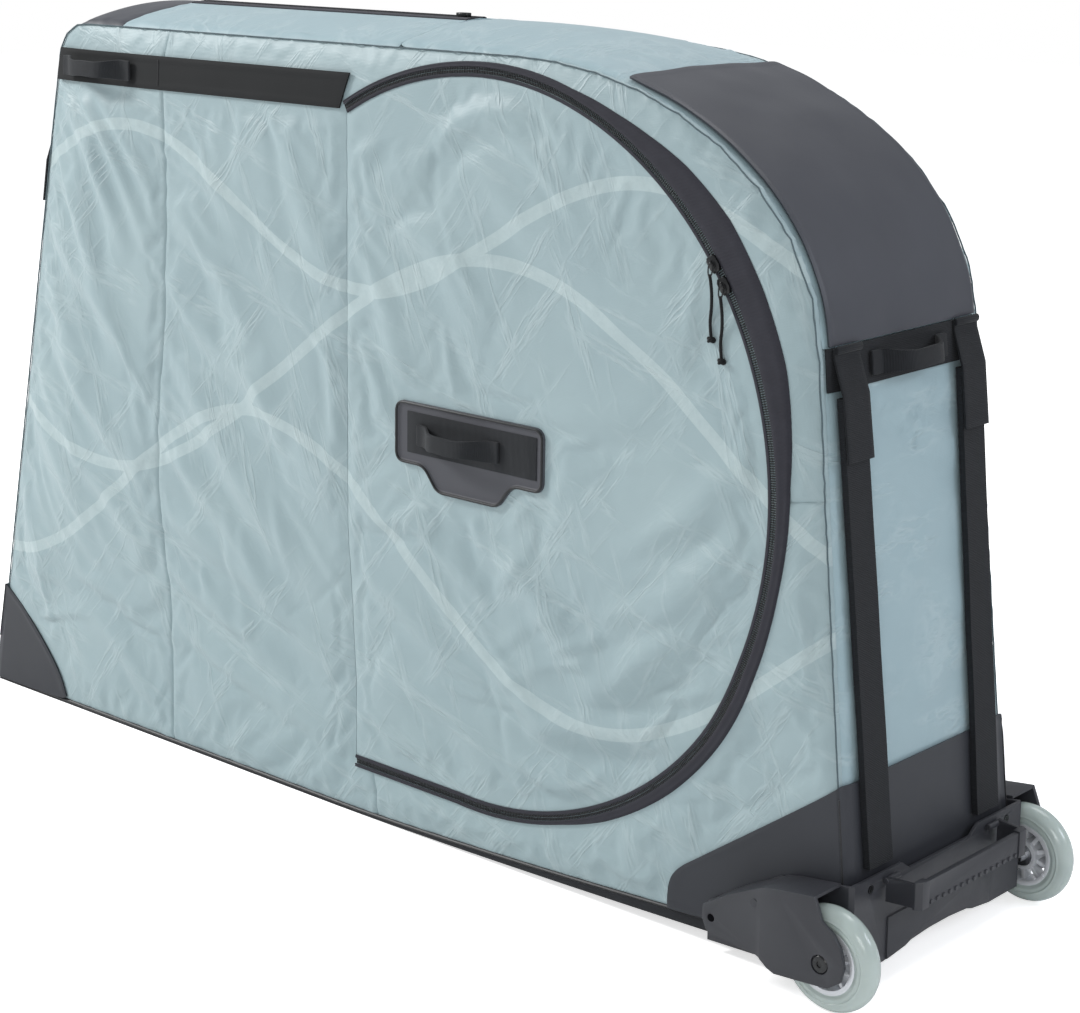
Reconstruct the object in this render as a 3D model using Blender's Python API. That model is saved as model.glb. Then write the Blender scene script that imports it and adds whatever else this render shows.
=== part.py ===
"""A soft travel bag that carries one bicycle, standing on two wheels and its nose.

The bag is 1.35 m long. A coated cloth shell with padded sides hangs on a stiff base, and a moulded
carrier at the rear holds two wheels and the towing grip. Each side opens as a D-shaped door onto a
compartment for one bicycle wheel, and two flaps in the top open onto the main compartment.

+X runs from the nose to the wheels, +Y to the far side, +Z up. The origin is on the floor, midway
between the nose and the back of the wheels. Lengths are in metres.
"""

import math

import bmesh
import bpy
from mathutils import Vector

# Overall sizes
OVERALL_LENGTH = 1.346
TOP_HEIGHT = 0.813
BAG_WIDTH = 0.268
TOP_TAPER_SHARE = 0.115
GAP = 0.00034
SKIN_GAP = 0.0008

# Side outline
FRONT_LEAN_SHARE = 0.212
REAR_LEAN_SHARE = 0.105
CORNER_RADIUS = 0.048
ARCH_REACH = 0.361
ARCH_DROP = 0.241
REAR_FOOT_SETBACK = 0.002

# Cloth walls
SIDE_WALL = 0.006
END_WALL = 0.005
SIDE_BULGE = 0.012
BULGE_REACH = 0.040
BULGE_START_HEIGHT = 0.180
BULGE_FULL_HEIGHT = 0.300
END_CROWN = 0.003
CROWN_FLAT_HALF = 0.115
NOSE_CROWN = 0.006
NOSE_CROWN_HEIGHT = 0.060
TOP_CROWN = 0.020
TOP_CROWN_SETBACK = 0.221
TOP_CROWN_FADE = 0.280
SKIN = 0.002

# Base
BASE_NOSE_THICKNESS = 0.0038
BASE_REAR_THICKNESS = 0.0175
BASE_RISE = 0.0213
BASE_CURVE_LENGTH = 0.671
BASE_CURVE_SHARE = 1.5
BASE_HEEL_LENGTH = 0.028
BASE_HEEL_RISE = 0.0135
BOARD_THICKNESS = 0.003
BOARD_WIDTH = 0.240
BOARD_MARGIN = 0.016

# Dividers between the wheel compartments and the main compartment
DIVIDER_THICKNESS = 0.004
MAIN_COMPARTMENT_WIDTH = 0.156
DIVIDER_CLEARANCE = 0.004

# Where the end and top panels meet, measured from the top, the nose, the arch and the door's hinge
FRONT_PANEL_DROP = 0.119
NOSE_COVER_REACH = 0.271
TOP_OPENING_OVERRUN = 0.058
BAND_RISE = 0.011
BAND_HEIGHT = 0.038
BAND_THICKNESS = 0.002

# Black hood over the arch
HOOD_MARGIN = 0.004
HOOD_LEAD = 0.070
HOOD_THICKNESS = 0.0025
HOOD_SEAM = 0.0015

# Side doors and their zips
ZIP_TOP_MARGIN = 0.015
ZIP_REAR_MARGIN = 0.04906
ZIP_LOW_HEIGHT = 0.058
ZIP_FLAT_ANGLE = 266
DOOR_FOOT_HEIGHT = 0.060
ZIP_GAP = 0.0006
HINGE_SETBACK = 0.180
HINGE_STAND_OFF = 0.003
DOOR_THICKNESS = 0.006
DOOR_RING_SHARES = (0.45, 0.88, 1.0)
COIL_WIDTH = 0.006

# Zip sliders and the cords on them
SLIDER_LENGTH = 0.016
SLIDER_WIDTH = 0.011
SLIDER_HEIGHT = 0.0035
SLIDER_BRIDGE = 0.0025
SLIDER_PLAN_SHARES = ((-0.5, 0.62), (-0.2, 1.0), (0.3, 1.0), (0.5, 0.62))
SLIDER_BRIDGE_SHARE = 0.2
UPPER_SLIDER_ANGLE = 36.6
LOWER_SLIDER_ANGLE = 33.2
PULL_DIAMETER = 0.003
PULL_LENGTH = 0.058
PULL_ROUTE_SHARES = ((0.0, 0.0, 0.0), (0.25, 0.35, 0.02), (0.5, 0.8, 0.0), (0.75, 1.0, -0.03),
                     (1.0, 1.0, 0.0))

# Patches of tough cloth at the nose and the rear
TOE_PATCH_HEIGHT = 0.128
TOE_PATCH_LENGTH = 0.138
KICK_PATCH_HEIGHT = 0.196
KICK_PATCH_LENGTH = 0.206
TOE_TOP_SHARES = ((0.25, 0.84), (0.5, 0.64), (0.75, 0.42), (0.9, 0.26), (1.0, 0.06))
KICK_TOP_SHARES = ((0.12, 0.9), (0.5, 0.64), (0.88, 0.38), (0.98, 0.30), (1.0, 0.15))
PATCH_TIP_HEIGHT = 0.006

# Shoulder bands
SHOULDER_DROP = 0.027
SHOULDER_HEIGHT = 0.036
SHOULDER_OVERRUN = 0.007
SHOULDER_SLOPE = 0.014
SHOULDER_MARGIN = 0.006

# Webbing grips
GRIP_WIDTH = 0.022
GRIP_STRAP = 0.004
GRIP_RISE = 0.020
GRIP_TAB_SHARE = 0.13
GRIP_SLOPE_SHARE = 0.7
GRIP_SHOULDER_SHARE = 0.86
GRIP_LEAN_SHARE = 0.35
DOOR_GRIP_LENGTH = 0.112
DOOR_GRIP_SETBACK = 0.0155
DOOR_GRIP_RISE = 0.0068
SHOULDER_GRIP_LENGTH = 0.118
SHOULDER_GRIP_SETBACK = 0.251
REAR_GRIP_LENGTH = 0.128

# Backing plate of the door grip
PLATE_LENGTH = 0.202
PLATE_HEIGHT = 0.064
PLATE_THICKNESS = 0.0025
PLATE_SETBACK = 0.004
PLATE_CORNER = 0.010
PLATE_TAB_LENGTH = 0.122
PLATE_TAB_DROP = 0.024
PLATE_TAB_SLOPE = 0.019

# Rod sleeves at both ends, their rods and flaps
SLEEVE_WIDTH = 0.037
SLEEVE_CENTRE_Y = 0.0865
SLEEVE_SPREAD_SHARE = 0.025
SLEEVE_WALL = 0.0008
ROD_DIAMETER = 0.004
ROD_SHORTFALL = 0.012
REAR_SLEEVE_DROP = 0.043
FRONT_SLEEVE_DROP = 0.042
FRONT_SLEEVE_FOOT = 0.092
SLEEVE_FOOT_CLEARANCE = 0.004
FLAP_LENGTH = 0.099
FRONT_FLAP_LENGTH = 0.088
FLAP_THICKNESS = 0.0022
FLAP_HEM_SHARE = 0.09
FLAP_FLARE = 0.0008

# Main zip in the top
FLAP_WALL = 0.005
TOP_HINGE_STAND_OFF = 0.0015
TOP_HINGE_CLEARANCE = 0.0005
MAIN_TAPE_HALF = 0.006
MAIN_SLIDER_SETBACK = 0.020

# Wheels
WHEEL_DIAMETER = 0.100
WHEEL_WIDTH = 0.024
WHEEL_TRACK = 0.324
HUB_DIAMETER = 0.063
HUB_RIM = 0.0045
HUB_BOSS_WALL = 0.004
HUB_WIDTH = 0.022
HUB_SPOKES = 10
SPOKE_WIDTH = 0.0045
SPOKE_DEPTH = 0.012
SPOKE_TIP_SHARE = 0.67
TYRE_SHOULDER_SHARE = 0.62
TYRE_BEAD_SHARE = 0.9
TYRE_FLANK_SHARE = 0.3
BEARING_DIAMETER = 0.022
BEARING_WIDTH = 0.007
BEARING_SLEEVE = 0.0016
AXLE_DIAMETER = 0.0077
AXLE_HEAD_DIAMETER = 0.017
AXLE_HEAD_CROWN_SHARE = 0.85
AXLE_SOCKET_SHARE = 0.35
AXLE_SOCKET_DEPTH = 0.0015

# Moulded carrier under the rear
CARRIER_WALL = 0.004
CARRIER_FLOOR = 0.003
CARRIER_LENGTH = 0.162
CARRIER_CLEARANCE = 0.0005
CARRIER_CHAMFER = 0.004
CARRIER_NOSE_HEIGHT = 0.050
CARRIER_WAIST_HEIGHT = 0.098
LIP_HEIGHT = 0.111
LIP_DIP = 0.0095
LIP_DIP_HALF = 0.050
LIP_DIP_SLOPE = 0.013
WALL_FOOT = 0.022
WALL_ARCH = 0.0085
WALL_ARCH_HALF = 0.088
WALL_ARCH_SHARES = ((1.0, 0.0), (0.66, 0.4), (0.55, 0.75), (0.2, 1.0))
RAISED_PANEL_HALF = 0.085
RAISED_PANEL_TOP = 0.0645
RAISED_PANEL_PROUD = 0.0015
RAISED_PANEL_MARGIN = 0.0015
SCREW_RECESS_DIAMETER = 0.009
SCREW_RECESS_DEPTH = 0.002
SCREW_Y = 0.112
SCREW_DROP = 0.011

# Wheel guards: a plate outside each wheel with a roof that reaches in to the carrier
GUARD_THICKNESS = 0.004
GUARD_ROOF = 0.003
GUARD_CLEARANCE = 0.0035
GUARD_LENGTH = 0.161
GUARD_HEIGHT = 0.087
GUARD_FOOT = 0.025
GUARD_OVERHANG = 0.026
GUARD_NOSE_SHARES = ((0.03, 0.195), (0.0, 0.32), (0.006, 0.47), (0.17, 0.655), (0.435, 0.90), (0.53, 0.94))
GUARD_PEAK_SHARES = ((0.79, 1.0),)
GUARD_TAIL_SHARES = ((0.845, 0.75), (0.925, 0.655), (0.975, 0.52), (1.0, 0.333), (0.975, 0.16),
                     (0.895, 0.057))
GUARD_FOOT_SHARES = ((0.69, 0.023), (0.53, 0.0), (0.48, 0.035), (0.42, 0.115), (0.07, 0.16))
GUARD_STEP = 0.003
GUARD_STEP_SLOPE = 0.008
GUARD_STEP_SHARE = 0.43
GUARD_HOLE_DIAMETER = 0.008
GUARD_HOLE_SHARES = (0.065, 0.345)
BOLT_SINK_DEPTH = 0.0025
BOLT_SINK_DIAMETER = 0.0185

# Towing grip
TOW_REACH = 0.036
TOW_TOP = 0.107
TOW_HEIGHT = 0.023
TOW_BAR = 0.005
TOW_HALF_LENGTH = 0.090
TOW_BLOCK_LENGTH = 0.015
TOW_BLOCK_PROUD = 0.0015
TOW_ARM = 0.004
TOW_ROOT_SPREAD = 0.004
TOW_BARREL_DIAMETER = 0.006
TOW_BARREL_LENGTH = 0.020
TOW_RIB_PITCH = 0.010
TOW_RIB_WIDTH = 0.0035
TOW_RIB_HEIGHT = 0.004
TOW_RIB_PROUD = 0.0012

# How finely curves are divided
EDGE_STEPS = 360
SEAM_STRIDE = 4
ARC_STEPS = 30
FLAT_STEPS = 4
FRAME_ROWS = 4
BASE_STEPS = 8
HINGE_STEPS = 8
FRONT_COLUMNS = 6
DIVIDER_STEPS = 40
REAR_PANEL_STEPS = 7
ARCH_STEPS = 13
COVER_STEPS = 10
FRONT_PANEL_STEPS = 7
HOOD_STEPS = 11
CROSS_BAND_STEPS = 2
FLAP_COLUMNS = 5
BAND_COLUMNS = 8
PATCH_ROWS = 4
CORNER_STEPS = 3
CORD_STEPS = 5
WHEEL_STEPS = 32
TYRE_STEPS = 8
PIN_STEPS = 18
HOLE_STEPS = 16
ROD_SIDES = 8
SHARP_ANGLE = 35

AXLE_X = OVERALL_LENGTH / 2 - WHEEL_DIAMETER / 2
AXLE_HEIGHT = WHEEL_DIAMETER / 2
NOSE_X = -OVERALL_LENGTH / 2 + SKIN_GAP + SKIN - FRONT_LEAN_SHARE * BASE_NOSE_THICKNESS
REAR_FOOT_X = AXLE_X - REAR_FOOT_SETBACK
HALF_WIDTH = BAG_WIDTH / 2
END_HALF = HALF_WIDTH - SIDE_WALL - GAP
BASE_FLAT_X = REAR_FOOT_X - BASE_CURVE_LENGTH
TOP_CROWN_END_X = REAR_FOOT_X - TOP_CROWN_SETBACK
TOP_CROWN_FULL_X = TOP_CROWN_END_X - TOP_CROWN_FADE

# The zip's arc runs from its lowest point to its margin under the top, and back from the rear seam
ZIP_RADIUS = (TOP_HEIGHT - ZIP_TOP_MARGIN - ZIP_LOW_HEIGHT) / 2
ZIP_CENTRE_HEIGHT = ZIP_LOW_HEIGHT + ZIP_RADIUS
ZIP_CENTRE_X = REAR_FOOT_X - REAR_LEAN_SHARE * ZIP_CENTRE_HEIGHT - ZIP_REAR_MARGIN - ZIP_RADIUS
HINGE_X = ZIP_CENTRE_X - HINGE_SETBACK
DOOR_GRIP_X = ZIP_CENTRE_X - DOOR_GRIP_SETBACK
DOOR_GRIP_HEIGHT = ZIP_CENTRE_HEIGHT + DOOR_GRIP_RISE
PLATE_CENTRE_X = ZIP_CENTRE_X - PLATE_SETBACK
SHOULDER_TOP = TOP_HEIGHT - SHOULDER_DROP
SHOULDER_BACK_X = HINGE_X + SHOULDER_OVERRUN
SHOULDER_GRIP_X = NOSE_X + SHOULDER_GRIP_SETBACK
FRONT_PANEL_TOP = TOP_HEIGHT - FRONT_PANEL_DROP
NOSE_COVER_BACK_X = NOSE_X + NOSE_COVER_REACH
TOP_OPENING_BACK_X = HINGE_X + TOP_OPENING_OVERRUN
MAIN_SLIDER_X = TOP_OPENING_BACK_X - MAIN_SLIDER_SETBACK
HOOD_LEAD_X = REAR_FOOT_X - ARCH_REACH + HOOD_LEAD
BAND_TOP = TOP_HEIGHT - ARCH_DROP + BAND_RISE
REAR_SLEEVE_TOP = BAND_TOP - REAR_SLEEVE_DROP
FRONT_SLEEVE_TOP = FRONT_PANEL_TOP - FRONT_SLEEVE_DROP
NEAR, FAR = -1, 1
FRONT, REAR = -1, 1

COLOURS = {
    "light_cloth": ((0.56, 0.64, 0.67), 0.62, 0.0),
    "black_cloth": ((0.055, 0.058, 0.068), 0.5, 0.0),
    "webbing": ((0.03, 0.032, 0.037), 0.75, 0.0),
    "moulded_plastic": ((0.05, 0.052, 0.06), 0.45, 0.0),
    "board": ((0.12, 0.12, 0.13), 0.6, 0.0),
    "rod": ((0.75, 0.75, 0.72), 0.4, 0.0),
    "tyre": ((0.55, 0.62, 0.6), 0.35, 0.0),
    "hub": ((0.78, 0.79, 0.82), 0.3, 0.9),
    "steel": ((0.45, 0.45, 0.47), 0.3, 1.0),
    "zip_metal": ((0.06, 0.06, 0.065), 0.35, 0.8),
    "cord": ((0.03, 0.03, 0.03), 0.8, 0.0),
}


CHASSIS_SLOTS = ("moulded_plastic", "tyre", "hub", "steel")


def clear_scene():
    for item in list(bpy.data.objects):
        bpy.data.objects.remove(item)


def material(slot):
    """One Principled material for each finish, made once."""
    found = bpy.data.materials.get(slot)
    if found:
        return found
    colour, roughness, metallic = COLOURS[slot]
    made = bpy.data.materials.new(slot)
    made.use_nodes = True
    shader = made.node_tree.nodes["Principled BSDF"]
    shader.inputs["Base Color"].default_value = (*colour, 1.0)
    shader.inputs["Roughness"].default_value = roughness
    shader.inputs["Metallic"].default_value = metallic
    return made


def finish(item, slot, smooth=True):
    item.data.materials.append(material(slot))
    if smooth:
        item.data.shade_smooth()
        item.data.set_sharp_from_angle(angle=math.radians(SHARP_ANGLE))
    return item


def add_mesh(name, points, faces, slot, smooth=True):
    """A closed solid from its points and faces, drawn in with the bag if it is part of the bag."""
    if slot not in CHASSIS_SLOTS:
        points = [lean_in(point) for point in points]
    mesh = bpy.data.meshes.new(name)
    work = bmesh.new()
    corners = [work.verts.new(point) for point in points]
    for face in faces:
        work.faces.new([corners[i] for i in face])
    bmesh.ops.recalc_face_normals(work, faces=work.faces)
    work.to_mesh(mesh)
    work.free()
    item = bpy.data.objects.new(name, mesh)
    bpy.context.scene.collection.objects.link(item)
    return finish(item, slot, smooth)


def grid_faces(columns, rows):
    """Quads of a grid whose points run along each column in turn."""
    faces = []
    for c in range(columns - 1):
        for r in range(rows - 1):
            a = c * rows + r
            faces.append((a, a + 1, a + rows + 1, a + rows))
    return faces


def shell(name, points, faces, offsets, slot):
    """A sheet given its thickness: a second skin at the offsets, and a rim that joins the two."""
    count = len(points)
    second = [Vector(p) + Vector(o) for p, o in zip(points, offsets)]
    used = {}
    for face in faces:
        for a, b in zip(face, face[1:] + face[:1]):
            used[(a, b)] = True
    rim = [(b, a, a + count, b + count) for a, b in used if (b, a) not in used]
    inner = [tuple(i + count for i in reversed(face)) for face in faces]
    return add_mesh(name, list(points) + second, list(faces) + inner + rim, slot)


def prism(name, outline, place, lower, upper, slot):
    """An outline drawn out between two levels; place turns (a, b, level) into a point."""
    count = len(outline)
    points = [place(a, b, lower) for a, b in outline] + [place(a, b, upper) for a, b in outline]
    faces = [tuple(range(count)), tuple(range(2 * count - 1, count - 1, -1))]
    for i in range(count):
        j = (i + 1) % count
        faces.append((i, j, j + count, i + count))
    return add_mesh(name, points, faces, slot)


def across(x, z, y):
    return (x, y, z)


def upward(x, y, z):
    return (x, y, z)


def revolve(name, profile, centre, slot, steps=WHEEL_STEPS):
    """A closed profile of (radius, place along Y) turned about an axis along Y."""
    count = len(profile)
    points = []
    for i in range(steps):
        turn = 2 * math.pi * i / steps
        for radius, along in profile:
            points.append((centre[0] + radius * math.cos(turn), along, centre[2] + radius * math.sin(turn)))
    faces = []
    for i in range(steps):
        j = (i + 1) % steps
        for k in range(count):
            m = (k + 1) % count
            faces.append((i * count + k, i * count + m, j * count + m, j * count + k))
    return add_mesh(name, points, faces, slot)


def turned_pin(name, profile, centre, slot, steps=WHEEL_STEPS):
    """A solid turned piece: the profile starts and ends on the axis, and its end faces are discs."""
    inner = [(radius, along) for radius, along in profile if radius > 0]
    count = len(inner)
    points = []
    for i in range(steps):
        turn = 2 * math.pi * i / steps
        for radius, along in inner:
            points.append((centre[0] + radius * math.cos(turn), along, centre[2] + radius * math.sin(turn)))
    faces = []
    for i in range(steps):
        j = (i + 1) % steps
        for k in range(count - 1):
            faces.append((i * count + k, i * count + k + 1, j * count + k + 1, j * count + k))
    faces.append(tuple(i * count for i in range(steps)))
    faces.append(tuple(i * count + count - 1 for i in reversed(range(steps))))
    return add_mesh(name, points, faces, slot)


def combine(target, tools, operation):
    """Booleans on the target, each applied, with the tool taken away."""
    for tool in tools:
        step = target.modifiers.new("combine", "BOOLEAN")
        step.operation = operation
        step.solver = "EXACT"
        step.object = tool
        bpy.context.view_layer.update()
        shape = target.evaluated_get(bpy.context.evaluated_depsgraph_get())
        made = bpy.data.meshes.new_from_object(shape)
        target.modifiers.clear()
        target.data = made
        bpy.data.objects.remove(tool)
    target.data.shade_smooth()
    target.data.set_sharp_from_angle(angle=math.radians(SHARP_ANGLE))
    return target


def joint_at(name, place, pieces):
    """An empty on a joint's axis that carries the pieces of one moving body."""
    axis = bpy.data.objects.new(name, None)
    axis.location = place
    bpy.context.scene.collection.objects.link(axis)
    for piece in pieces:
        for corner in piece.data.vertices:
            corner.co -= Vector(place)
        piece.parent = axis
    return axis


def lean_in(point):
    """A point of the bag drawn in towards the middle: the bag narrows evenly with height."""
    x, y, z = point
    return (x, y * (1 - TOP_TAPER_SHARE * z / TOP_HEIGHT), z)


def spread(first, last, steps):
    """Evenly spaced values from a first to a last."""
    return [first + (last - first) * i / steps for i in range(steps + 1)]


def smooth_step(share):
    share = min(1.0, max(0.0, share))
    return share * share * (3 - 2 * share)


# Side outline: up the rear, over the arch, forward along the top and down the nose

def base_lift(x):
    """Share of the base's rise: it lies flat under the front half and curves up to the rear."""
    return max(0.0, (x - BASE_FLAT_X) / (REAR_FOOT_X - BASE_FLAT_X)) ** BASE_CURVE_SHARE


def base_foot(x):
    """Height of the base's underside, which turns up at the heel."""
    heel = max(0.0, x - REAR_FOOT_X + BASE_HEEL_LENGTH) / BASE_HEEL_LENGTH
    return BASE_RISE * base_lift(x) + BASE_HEEL_RISE * heel


def base_top(x):
    """Height of the base's upper face, where the cloth walls stand."""
    lift = base_lift(x)
    return BASE_RISE * lift + BASE_NOSE_THICKNESS + (BASE_REAR_THICKNESS - BASE_NOSE_THICKNESS) * lift


def front_x(z):
    return NOSE_X + FRONT_LEAN_SHARE * z


def rear_x(z):
    return REAR_FOOT_X - REAR_LEAN_SHARE * z


def walk_outline():
    """The outline's points, from the foot of the rear to the foot of the nose."""
    bend = math.atan(REAR_LEAN_SHARE * ARCH_DROP / ARCH_REACH)
    arch_middle = TOP_HEIGHT - ARCH_DROP
    arch_foot = arch_middle + ARCH_DROP * math.sin(bend)
    rear_foot = base_top(REAR_FOOT_X) + GAP
    nose_foot = base_top(NOSE_X) + GAP
    points = []
    straight_steps = EDGE_STEPS // 6
    for i in range(straight_steps):
        z = rear_foot + (arch_foot - rear_foot) * i / straight_steps
        points.append((rear_x(z), z))
    arch_steps = EDGE_STEPS // 3
    arch_x = rear_x(arch_foot) - ARCH_REACH * math.cos(bend)
    for i in range(arch_steps):
        turn = bend + (math.pi / 2 - bend) * i / arch_steps
        points.append((arch_x + ARCH_REACH * math.cos(turn), arch_middle + ARCH_DROP * math.sin(turn)))
    fold = math.pi / 2 - math.atan(FRONT_LEAN_SHARE)
    corner_x = front_x(TOP_HEIGHT) + CORNER_RADIUS * math.tan(fold / 2)
    for i in range(straight_steps):
        points.append((arch_x + (corner_x - arch_x) * i / straight_steps, TOP_HEIGHT))
    for i in range(straight_steps):
        turn = math.pi / 2 + fold * i / straight_steps
        points.append((corner_x + CORNER_RADIUS * math.cos(turn),
                       TOP_HEIGHT - CORNER_RADIUS + CORNER_RADIUS * math.sin(turn)))
    corner_foot = points[-1][1]
    for i in range(1, straight_steps + 1):
        height = corner_foot + (nose_foot - corner_foot) * i / straight_steps
        points.append((front_x(height), height))
    return points


OUTLINE = walk_outline()
WALKED = [0.0]
for (x0, z0), (x1, z1) in zip(OUTLINE, OUTLINE[1:]):
    WALKED.append(WALKED[-1] + math.hypot(x1 - x0, z1 - z0))


def edge(walk):
    """Point and outward normal at a distance walked along the outline."""
    walk = min(max(walk, 0.0), WALKED[-1])
    i = 0
    while i < len(WALKED) - 2 and WALKED[i + 1] < walk:
        i += 1
    share = (walk - WALKED[i]) / (WALKED[i + 1] - WALKED[i])
    (x0, z0), (x1, z1) = OUTLINE[i], OUTLINE[i + 1]
    a, b = OUTLINE[max(i - 1, 0)], OUTLINE[min(i + 2, len(OUTLINE) - 1)]
    long = math.hypot(b[0] - a[0], b[1] - a[1])
    return x0 + (x1 - x0) * share, z0 + (z1 - z0) * share, (b[1] - a[1]) / long, (a[0] - b[0]) / long


def walk_where(value, part):
    """Distance walked to a height on the rear or the nose, or to an X on the top."""
    for i in range(len(OUTLINE) - 1):
        (x0, z0), (x1, z1) = OUTLINE[i], OUTLINE[i + 1]
        if part == "rear" and x0 > 0 and z0 <= value < z1:
            return WALKED[i] + (WALKED[i + 1] - WALKED[i]) * (value - z0) / (z1 - z0)
        if part == "top" and z0 > TOP_HEIGHT - ARCH_DROP and x1 < value <= x0:
            return WALKED[i] + (WALKED[i + 1] - WALKED[i]) * (value - x0) / (x1 - x0)
        if part == "nose" and x0 < 0 and z1 < value <= z0:
            return WALKED[i] + (WALKED[i + 1] - WALKED[i]) * (value - z0) / (z1 - z0)
    return WALKED[-1] if part == "nose" else 0.0


def seam_distance(x, z):
    """How far a point of the side lies from the outline."""
    least = min(abs(z - base_top(x)), BULGE_REACH)
    for (x0, z0), (x1, z1) in zip(OUTLINE[::SEAM_STRIDE], OUTLINE[SEAM_STRIDE::SEAM_STRIDE]):
        dx, dz = x1 - x0, z1 - z0
        share = min(1.0, max(0.0, ((x - x0) * dx + (z - z0) * dz) / (dx * dx + dz * dz)))
        least = min(least, math.hypot(x - x0 - share * dx, z - z0 - share * dz))
    return least


def side_half(x, z):
    """Half width of the bag at a point of its side: the padded sides swell out from the seams."""
    swell = math.sin(math.pi / 2 * min(1.0, seam_distance(x, z) / BULGE_REACH))
    rise = smooth_step((z - BULGE_START_HEIGHT) / (BULGE_FULL_HEIGHT - BULGE_START_HEIGHT))
    return HALF_WIDTH + SIDE_BULGE * swell * rise


def crown_at(x, z):
    """The flat crown of the end panels: fuller down the nose, and fading to nothing at its foot."""
    if x > 0:
        return END_CROWN
    below_top = smooth_step((TOP_HEIGHT - z) / (TOP_HEIGHT - FRONT_PANEL_TOP))
    return (END_CROWN + (NOSE_CROWN - END_CROWN) * below_top) * min(1.0, z / NOSE_CROWN_HEIGHT)


def crown_out(x, y, z):
    """How far a panel stands out from the outline: a little at the ends, and a round back on top."""
    past = (abs(y) - CROWN_FLAT_HALF) / (END_HALF - CROWN_FLAT_HALF)
    flat_share = 1.0 if past <= 0 else max(0.0, 1 - past * past)
    round_share = max(0.0, 1 - (y / END_HALF) ** 2)
    behind = smooth_step((TOP_CROWN_END_X - x) / (TOP_CROWN_END_X - TOP_CROWN_FULL_X))
    above = smooth_step((z - FRONT_PANEL_TOP) / (TOP_HEIGHT - FRONT_PANEL_TOP)) if x < 0 else 1.0
    return crown_at(x, z) * flat_share + TOP_CROWN * behind * above * round_share


def stations(half):
    """Places across the bag where an end panel is divided, out to its half width."""
    outer = [y for y in (CROWN_FLAT_HALF, (CROWN_FLAT_HALF + END_HALF) / 2) if y < half]
    right = [CROWN_FLAT_HALF / 2] + outer + [half]
    return [-y for y in reversed(right)] + [0.0] + right


def end_sheet(name, start, stop, steps, half, lift, thickness, slot):
    """A panel of an end or the top, bent along the outline and crowned across the bag."""
    points = []
    offsets = []
    places = stations(half)
    for i in range(steps + 1):
        x, z, nx, nz = edge(start + (stop - start) * i / steps)
        for y in places:
            out = lift + thickness + crown_out(x, y, z)
            points.append((x + nx * out, y, z + nz * out))
            offsets.append((-nx * thickness, 0, -nz * thickness))
    return shell(name, points, grid_faces(steps + 1, len(places)), offsets, slot)


def make_base():
    """The stiff base: an outer skid of tough plastic and a board inside it."""
    rear_high = rear_x(base_top(REAR_FOOT_X))
    rear_low = rear_x(base_foot(REAR_FOOT_X))
    under = [(NOSE_X, 0.0)]
    under += [(x, base_foot(x)) for x in spread(BASE_FLAT_X, REAR_FOOT_X - BASE_HEEL_LENGTH, BASE_STEPS)]
    under.append((rear_low, base_foot(rear_low)))
    over = [(front_x(BASE_NOSE_THICKNESS), BASE_NOSE_THICKNESS)]
    over += [(x, base_top(x)) for x in spread(BASE_FLAT_X, rear_high, BASE_STEPS)]
    prism("base_skid", under + over[::-1], across, -HALF_WIDTH, HALF_WIDTH, "black_cloth")
    first, last = NOSE_X + BOARD_MARGIN, rear_high - BOARD_MARGIN
    foot = [(x, base_top(x) + GAP) for x in [first] + spread(BASE_FLAT_X, last, BASE_STEPS)]
    lid = [(x, z + BOARD_THICKNESS) for x, z in reversed(foot)]
    prism("base_board", foot + lid, across, -BOARD_WIDTH / 2, BOARD_WIDTH / 2, "board")


def floor_at(x):
    """Height that the dividers stand at, just over the base board."""
    return base_top(x) + BOARD_THICKNESS + 2 * GAP


def make_divider(name, side):
    """A thin padded wall between a wheel compartment and the main compartment."""
    rim = []
    for i in range(DIVIDER_STEPS + 1):
        x, z, nx, nz = edge(WALKED[-1] * i / DIVIDER_STEPS)
        inset = END_WALL + DIVIDER_CLEARANCE - crown_out(x, MAIN_COMPARTMENT_WIDTH / 2 + DIVIDER_THICKNESS, z)
        x, z = x - nx * inset, z - nz * inset
        if z > floor_at(x) + END_WALL:
            rim.append((x, z))
    floor = [rim[-1][0]] + spread(BASE_FLAT_X, rim[0][0], BASE_STEPS)
    rim += [(x, floor_at(x)) for x in floor]
    inner = side * MAIN_COMPARTMENT_WIDTH / 2
    prism(name, rim, across, inner, inner + side * DIVIDER_THICKNESS, "light_cloth")


def zip_point(angle, radius):
    turn = math.radians(angle)
    return ZIP_CENTRE_X + radius * math.cos(turn), ZIP_CENTRE_HEIGHT + radius * math.sin(turn)


def door_rim(inset):
    """The curved edge of the doorway, drawn in by an inset: from the hinge's top round to its foot.

    It is an arc down to the lowest point of the zip, and a straight run from there to the hinge.
    """
    radius, hinge = ZIP_RADIUS - inset, HINGE_X + inset
    first = math.degrees(math.acos((hinge - ZIP_CENTRE_X) / radius))
    last = ZIP_FLAT_ANGLE - 360
    rim = [zip_point(first + (last - first) * i / ARC_STEPS, radius) for i in range(ARC_STEPS + 1)]
    low_x, low_z = rim[-1]
    foot = DOOR_FOOT_HEIGHT + inset
    for i in range(1, FLAT_STEPS + 1):
        share = i / FLAT_STEPS
        rim.append((low_x + (hinge - low_x) * share, low_z + (foot - low_z) * share))
    return rim


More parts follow.
